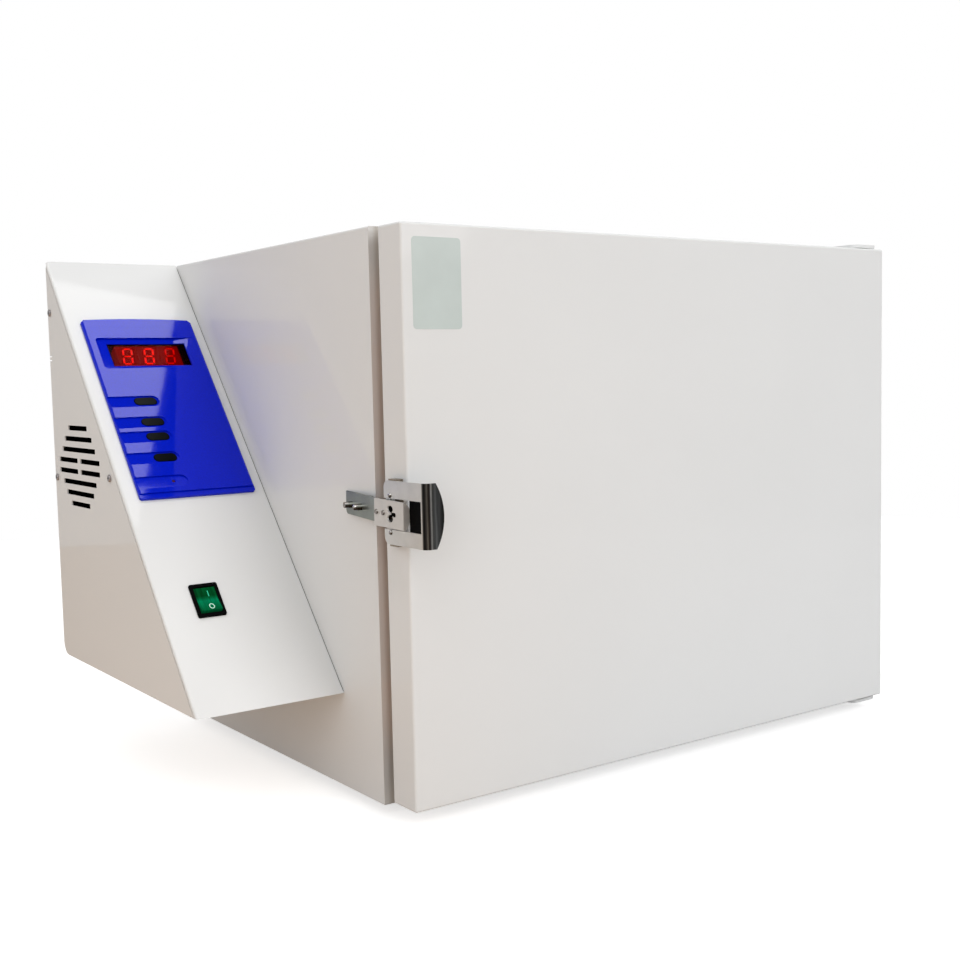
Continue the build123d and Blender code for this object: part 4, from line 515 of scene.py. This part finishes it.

# %% [markdown]
# ## Latch metals
#
# The pull lever is a bright steel pressing, brushed along its side. Its grip is polished, and the dark and
# bright upright bands across it, tightest round the bend, are painted reflections of a workshop's dark half.
# A ramp over X paints them into the grip's colour, and a
# mask over Y keeps them off the side plate.

# %% Lever steel
lever_steel = new_finish("lever_steel", (0.68, 0.67, 0.65), 0.05, 90.0, (0.28, 0.31), 60.0, 0.000001, 0.02,
                         1.0, (30.0, 1.0, 30.0))
lever_tree = lever_steel.node_tree
lever_shader = shader_of(lever_steel)
lever_low_corner, lever_high_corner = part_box("latch_handle")
grip_left, grip_right, grip_front = lever_low_corner[0], lever_high_corner[0], lever_low_corner[1]
GRIP_BEND = 4.5 * MM
lever_place = lever_tree.nodes.new("ShaderNodeTexCoord")
lever_axes = lever_tree.nodes.new("ShaderNodeSeparateXYZ")
lever_tree.links.new(lever_place.outputs["Object"], lever_axes.inputs["Vector"])
across = add_range(lever_tree, lever_axes.outputs["X"], 0.0, 1.0, grip_left, grip_right)
# Painted reflection: dark and bright upright bands across the grip.
grip_painted_reflections = add_ramp(lever_tree, across.outputs["Result"], [
    (0.00, (0.10, 0.10, 0.10)), (0.04, (0.006, 0.006, 0.006)), (0.10, (0.030, 0.028, 0.026)),
    (0.15, (0.16, 0.16, 0.15)), (0.20, (0.022, 0.018, 0.016)), (0.27, (0.05, 0.045, 0.045)),
    (0.33, (0.40, 0.39, 0.37)), (0.40, (0.08, 0.08, 0.075)), (0.55, (0.12, 0.125, 0.125)),
    (0.80, (0.055, 0.055, 0.055)), (1.00, (0.02, 0.02, 0.018))])
streaks = add_noise(lever_tree, 70.0, 3.0, (28.0, 1.0, 0.5))
streak_level = add_range(lever_tree, streaks.outputs["Fac"], 0.6, 1.5)
streaked_reflections = lever_tree.nodes.new("ShaderNodeMix")
streaked_reflections.data_type = "RGBA"
streaked_reflections.blend_type = "MULTIPLY"
streaked_reflections.inputs["Factor"].default_value = 1.0
lever_tree.links.new(grip_painted_reflections.outputs["Color"], streaked_reflections.inputs["A"])
lever_tree.links.new(streak_level.outputs["Result"], streaked_reflections.inputs["B"])
plate_tint = lever_shader.inputs["Base Color"].links[0].from_socket
on_grip = add_range(lever_tree, lever_axes.outputs["Y"], 1.0, 0.0, grip_front + GRIP_BEND * 0.8,
                    grip_front + GRIP_BEND)
grip_or_plate = lever_tree.nodes.new("ShaderNodeMix")
grip_or_plate.data_type = "RGBA"
lever_tree.links.new(on_grip.outputs["Result"], grip_or_plate.inputs["Factor"])
lever_tree.links.new(plate_tint, grip_or_plate.inputs["A"])
lever_tree.links.new(streaked_reflections.outputs["Result"], grip_or_plate.inputs["B"])
lever_tree.links.new(grip_or_plate.outputs["Result"], lever_shader.inputs["Base Color"])
dress(lever_steel, "latch_handle")

# %% [markdown]
# ## The catch strip, the bracket and the small fasteners
#
# The strip's plate is satin nickel, so it is nearly as bright as the paint. The arm behind it is duller, with a
# faint green cast. The bracket behind the lever is zinc with a yellow pass that has gone brown, and the
# screws in it are black. Dome heads are polished, and a painted highlight over their normals makes each one dark below
# with a bright band above.

# %% Catch and fasteners
nickel = new_finish("satin_nickel", (0.64, 0.63, 0.61), 0.05, 90.0, (0.30, 0.40), 90.0, 0.000004, 0.15, 0.35,
                    (1.0, 12.0, 12.0))
dress(nickel, "catch_plate")
strip_steel = new_finish("strip_steel", (0.25, 0.27, 0.24), 0.14, 45.0, (0.28, 0.40), 60.0, 0.000008, 0.3, 0.9,
                         (30.0, 1.0, 30.0))
dress(strip_steel, "catch_arm")
yellow_zinc = new_finish("yellow_zinc", (0.34, 0.29, 0.23), 0.15, 90.0, (0.26, 0.40), 800.0, 0.00001, 0.3, 0.9)
dress(yellow_zinc, "latch_bracket")
black_screw = new_finish("blackened_screw", (0.012, 0.012, 0.012), 0.2, 300.0, (0.35, 0.5), 900.0, 0.00001, 0.3,
                         0.6)
dress(black_screw, "latch_screws", "catch_wedge")
dome_steel = new_finish("polished_domes", (0.40, 0.37, 0.35), 0.20, 700.0, (0.08, 0.12), 900.0, 0.000004, 0.1, 1.0)
dome_tree = dome_steel.node_tree
dome_shape = dome_tree.nodes.new("ShaderNodeTexCoord")
dome_axes = dome_tree.nodes.new("ShaderNodeSeparateXYZ")
dome_tree.links.new(dome_shape.outputs["Normal"], dome_axes.inputs["Vector"])
dome_height = add_range(dome_tree, dome_axes.outputs["Z"], 0.0, 1.0, -1.0, 1.0)
# Painted highlight and shade: dark lower side and a bright band above, read from the surface normal.
dome_painted_highlight = add_ramp(dome_tree, dome_height.outputs["Result"], [
    (0.0, (0.02, 0.018, 0.016)), (0.42, (0.06, 0.05, 0.045)), (0.56, (0.42, 0.38, 0.35)), (0.66, (0.95, 0.94, 0.93)),
    (0.86, (0.80, 0.78, 0.76)), (0.95, (0.10, 0.09, 0.08))])
dome_tree.links.new(dome_painted_highlight.outputs["Color"], shader_of(dome_steel).inputs["Base Color"])
dress(dome_steel, "catch_screws", "catch_rivets", "lever_rivets", "latch_pins")
case_screw_steel = new_finish("case_screws", (0.40, 0.37, 0.37), 0.10, 300.0, (0.22, 0.32), 900.0, 0.00001, 0.3,
                              1.0)
dress(case_screw_steel, "case_screws", "rear_screws")

# %% [markdown]
# ## Label
#
# The label is a satin film with nothing printed on it.

# %% Label
label_film = new_finish("label_film", (0.56, 0.63, 0.61), 0.03, 30.0, (0.30, 0.38), 1500.0, 0.00001, 0.2)
dress(label_film, "blank_label")

# %% [markdown]
# ## Blue key panel
#
# The panel is a moulding with spark-eroded texture: rounded pits a millimetre apart under a gloss. The
# pits are what make the pale reflection of the lamp look grainy.

# %% Blue moulding
blue_moulding = new_finish("blue_moulding", (0.0008, 0.012, 0.56), 0.10, 700.0, (0.02, 0.06), 1100.0, 0.00001, 0.10,
                           specular=0.20)
dress(blue_moulding, "panel_bezel")

# %% [markdown]
# ## Keys and lamp
#
# The keys are satin black. The lamp is a small red lens that isn't lit.

# %% Keys and lamp
key_gloss = new_finish("key_gloss", (0.0015, 0.0022, 0.0025), 0.1, 90.0, (0.10, 0.16), 900.0, 0.00001, 0.2,
                       specular=0.025)
dress(key_gloss, "mode_button", "raise_button", "lower_button", "start_button")
lamp_lens = new_finish("lamp_lens", (0.050, 0.002, 0.006), 0.1, 300.0, (0.12, 0.2), 900.0, 0.00001, 0.2,
                       specular=0.2)
dress(lamp_lens, "status_led")

# %% [markdown]
# ## Display
#
# The window is red acrylic with an anti-glare face, so most of its mirror image is taken out and only its
# bending of light is kept. Under it sit three digit blocks. The blocks' faces are dark red with a faint, even
# painted glow over the whole face, which stands in for light spread from the lit bars. Each block has seven
# shallow recesses that lean to the right. The lit bars are made from those recesses themselves: their floors are
# copied from the solid model, drawn in a little, raised and bevelled, so that they can't miss their places.
# The third digit is dimmer than the others.

# %% Display window and blocks
WINDOW_IOR = 1.45
ANTI_GLARE = 0.96
red_window = new_finish("red_acrylic", (0.80, 0.10, 0.07), 0.04, 60.0, (0.02, 0.05), 600.0, 0.000002, 0.1,
                        specular=0.0)
shader_of(red_window).inputs["Transmission Weight"].default_value = 1.0
shader_of(red_window).inputs["IOR"].default_value = WINDOW_IOR
window_tree = red_window.node_tree
bend_only = window_tree.nodes.new("ShaderNodeBsdfRefraction")
bend_only.inputs["IOR"].default_value = WINDOW_IOR
bend_only.inputs["Roughness"].default_value = 0.0
window_tree.links.new(shader_of(red_window).inputs["Base Color"].links[0].from_socket, bend_only.inputs["Color"])
quiet = window_tree.nodes.new("ShaderNodeMixShader")
quiet.inputs["Fac"].default_value = ANTI_GLARE
window_tree.links.new(shader_of(red_window).outputs["BSDF"], quiet.inputs[1])
window_tree.links.new(bend_only.outputs["BSDF"], quiet.inputs[2])
window_tree.links.new(quiet.outputs["Shader"], window_tree.nodes["Material Output"].inputs["Surface"])
dress(red_window, "display_window")
block_painted_glow = new_finish("digit_block_painted_glow", (0.16, 0.004, 0.003), 0.15, 90.0, (0.5, 0.6), 900.0, 0.00001, 0.3,
                       specular=0.02)
# Painted glow: the whole block face gives off a faint red light.
shader_of(block_painted_glow).inputs["Emission Color"].default_value = (1.0, 0.03, 0.01, 1.0)
shader_of(block_painted_glow).inputs["Emission Strength"].default_value = 0.13
dress(block_painted_glow, "digit_modules")

# %% Lit bars of the digits
SAME_PLANE = 0.9995
BAR_CLEARANCE = 0.06 * MM
BAR_RISE = 0.24 * MM
BAR_BEVEL = 0.05 * MM


def faces_toward(node_name, direction):
    """Copies a solid part's faces that look along a direction, with flat neighbours merged."""
    work = bmesh.new()
    work.from_mesh(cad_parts[node_name].data)
    bmesh.ops.remove_doubles(work, verts=work.verts, dist=1e-6)
    bmesh.ops.dissolve_limit(work, angle_limit=radians(0.5), verts=work.verts, edges=work.edges)
    others = [face for face in work.faces if face.normal.dot(direction) < SAME_PLANE]
    bmesh.ops.delete(work, geom=others, context="FACES")
    return work


window_faces = sorted(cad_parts["display_window"].data.polygons, key=lambda face: face.area)
slope_out = next(face.normal.copy() for face in reversed(window_faces) if face.normal.z > 0)
slope_up = Vector((1, 0, 0)).cross(slope_out) * -1.0
if slope_up.z < 0:
    slope_up.negate()


def lit_material(name, colour, brightness):
    """A bar that shines; a slow noise makes it a little uneven."""
    material = new_finish(name, tuple(value * 0.3 for value in colour), 0.1, 200.0, (0.3, 0.4), 900.0, 0.000005, 0.2)
    tree = material.node_tree
    uneven = add_noise(tree, 260.0, 2.0)
    level = add_range(tree, uneven.outputs["Fac"], brightness * 0.8, brightness * 1.2)
    shader_of(material).inputs["Emission Color"].default_value = (*colour, 1.0)
    tree.links.new(level.outputs["Result"], shader_of(material).inputs["Emission Strength"])
    return material


digit_lights = {
    "left": lit_material("lit_red_left", (1.0, 0.10, 0.05), 1.6),
    "middle": lit_material("lit_red_middle", (1.0, 0.10, 0.05), 1.7),
    "right": lit_material("lit_red_right", (1.0, 0.07, 0.04), 0.75),
}
blocks_low, blocks_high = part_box("digit_modules")
block_span = (blocks_high[0] - blocks_low[0]) / 3
for number, (side, light) in enumerate(digit_lights.items()):
    bars = faces_toward("digit_modules", slope_out)
    floor_level = min(face.calc_center_median().dot(slope_out) for face in bars.faces)
    low_x = blocks_low[0] + number * block_span
    spare = [face for face in bars.faces
             if face.calc_center_median().dot(slope_out) > floor_level + 0.1 * MM
             or not low_x < face.calc_center_median().x < low_x + block_span]
    bmesh.ops.delete(bars, geom=spare, context="FACES")
    floors = list(bars.faces)
    rims = bmesh.ops.inset_individual(bars, faces=floors, thickness=BAR_CLEARANCE)["faces"]
    bmesh.ops.delete(bars, geom=rims, context="FACES")
    raised = bmesh.ops.extrude_face_region(bars, geom=list(bars.faces))["geom"]
    top_corners = [part for part in raised if isinstance(part, bmesh.types.BMVert)]
    bmesh.ops.translate(bars, verts=top_corners, vec=slope_out * BAR_RISE)
    top_edges = [part for part in raised if isinstance(part, bmesh.types.BMEdge)]
    bmesh.ops.bevel(bars, geom=top_edges, offset=BAR_BEVEL, segments=2, profile=0.5, affect="EDGES", material=-1)
    print("lit digit", side, "bars", len(floors))
    make_piece("lit_digit_" + side, bars, light, "cabinet")

# %% [markdown]
# ## Mains rocker
#
# The rocker is clear green plastic over a small lamp. Ribs inside it show through as upright streaks. A ramp over
# height paints shade on the upper half, which is pressed in, and a painted highlight just below the middle; the lamp's
# glow follows the same ramp. Its two marks are printed: a bar on the upper half and a ring on the lower one.

# %% Rocker
rocker_green = new_finish("rocker_green", (0.0, 0.10, 0.045), 0.2, 60.0, (0.10, 0.16), 700.0, 0.00001, 0.2,
                          specular=0.02)
rocker_tree = rocker_green.node_tree
rocker_shader = shader_of(rocker_green)
rocker_place = rocker_tree.nodes.new("ShaderNodeTexCoord")
rocker_axes = rocker_tree.nodes.new("ShaderNodeSeparateXYZ")
rocker_tree.links.new(rocker_place.outputs["Object"], rocker_axes.inputs["Vector"])
rocker_low, rocker_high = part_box("power_rocker")
climb = add_range(rocker_tree, rocker_axes.outputs["Z"], 0.0, 1.0, rocker_low[2], rocker_high[2])
# Painted shade and highlight: dark upper half, bright band just below the middle.
rocker_painted_shade = add_ramp(rocker_tree, climb.outputs["Result"], [
    (0.00, (0.0, 0.055, 0.016)), (0.30, (0.0, 0.085, 0.028)), (0.55, (0.0, 0.150, 0.060)), (0.64, (0.0, 0.085, 0.026)),
    (0.72, (0.0, 0.045, 0.010)), (1.00, (0.0, 0.060, 0.014))])
ribs = add_noise(rocker_tree, 620.0, 2.0, (1.0, 0.06, 0.06))
rib_level = add_range(rocker_tree, ribs.outputs["Fac"], 0.55, 1.3)
ribbed = rocker_tree.nodes.new("ShaderNodeMix")
ribbed.data_type = "RGBA"
ribbed.blend_type = "MULTIPLY"
ribbed.inputs["Factor"].default_value = 1.0
rocker_tree.links.new(rocker_painted_shade.outputs["Color"], ribbed.inputs["A"])
rocker_tree.links.new(rib_level.outputs["Result"], ribbed.inputs["B"])
rocker_tree.links.new(ribbed.outputs["Result"], rocker_shader.inputs["Base Color"])
rocker_tree.links.new(ribbed.outputs["Result"], rocker_shader.inputs["Emission Color"])
rocker_shader.inputs["Emission Strength"].default_value = 0.35
dress(rocker_green, "power_rocker")

# %% Marks on the rocker
MARK_RISE = 0.05 * MM
MARK_SUNK = 0.02 * MM
BAR_MARK = (0.8 * MM, 5.5 * MM)
RING_OUTER = 2.3 * MM
RING_INNER = 1.6 * MM
RING_TALL = 1.25
BAR_PLACE = (2.0 * MM, 0.0, 0.0)
RING_PLACE = (0.9 * MM, -2.4 * MM, 0.0)


def place_on(node_name, direction):
    """A matrix on the middle of the largest face that looks roughly along a direction."""
    work = bmesh.new()
    work.from_mesh(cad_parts[node_name].data)
    bmesh.ops.remove_doubles(work, verts=work.verts, dist=1e-6)
    bmesh.ops.dissolve_limit(work, angle_limit=radians(0.5), verts=work.verts, edges=work.edges)
    facing = [face for face in work.faces if face.normal.dot(direction) > 0.999]
    face = max(facing, key=lambda candidate: candidate.calc_area())
    centre, outward = face.calc_center_bounds(), face.normal.copy()
    work.free()
    side = Vector((1, 0, 0))
    upward = outward.cross(side)
    return Matrix.Translation(centre) @ Matrix((side, upward, outward)).transposed().to_4x4()


def mark_material(name, colour, glow):
    material = new_finish(name, colour, 0.05, 300.0, (0.3, 0.4), 900.0, 0.000005, 0.2)
    shader_of(material).inputs["Emission Color"].default_value = (*colour, 1.0)
    shader_of(material).inputs["Emission Strength"].default_value = glow
    return material


upper_half = place_on("power_rocker", slope_out)
lower_out = Matrix.Rotation(radians(-12.0), 4, "X") @ slope_out
lower_half = place_on("power_rocker", lower_out)
bar_work = bmesh.new()
bmesh.ops.create_grid(bar_work, x_segments=1, y_segments=4, size=0.5)
bmesh.ops.scale(bar_work, vec=(*BAR_MARK, 1.0), verts=bar_work.verts)
bar_top = bmesh.ops.extrude_face_region(bar_work, geom=list(bar_work.faces))["geom"]
bmesh.ops.translate(bar_work, verts=[part for part in bar_top if isinstance(part, bmesh.types.BMVert)],
                    vec=(0, 0, MARK_RISE + MARK_SUNK))
bmesh.ops.translate(bar_work, verts=bar_work.verts, vec=Vector(BAR_PLACE) - Vector((0, 0, MARK_SUNK)))
bmesh.ops.transform(bar_work, matrix=upper_half, verts=bar_work.verts)
make_piece("rocker_on_mark", bar_work, mark_material("mark_teal", (0.01, 0.42, 0.24), 0.45), "mains_rocker")
ring_work = bmesh.new()
bmesh.ops.create_grid(ring_work, x_segments=1, y_segments=1, size=0.5)
bmesh.ops.scale(ring_work, vec=(RING_OUTER - RING_INNER, MARK_RISE + MARK_SUNK, 1.0), verts=ring_work.verts)
bmesh.ops.rotate(ring_work, cent=(0, 0, 0), matrix=Matrix.Rotation(pi / 2, 3, "X"), verts=ring_work.verts)
bmesh.ops.translate(ring_work, verts=ring_work.verts,
                    vec=((RING_OUTER + RING_INNER) / 2, 0, (MARK_RISE - MARK_SUNK) / 2))
bmesh.ops.spin(ring_work, geom=ring_work.verts[:] + ring_work.edges[:] + ring_work.faces[:], cent=(0, 0, 0),
               axis=(0, 0, 1), angle=2 * pi, steps=48, use_merge=True)
bmesh.ops.scale(ring_work, vec=(1.0, RING_TALL, 1.0), verts=ring_work.verts)
bmesh.ops.translate(ring_work, verts=ring_work.verts, vec=RING_PLACE)
bmesh.ops.transform(ring_work, matrix=lower_half, verts=ring_work.verts)
make_piece("rocker_off_mark", ring_work, mark_material("mark_pale", (0.42, 0.72, 0.58), 0.25), "mains_rocker")
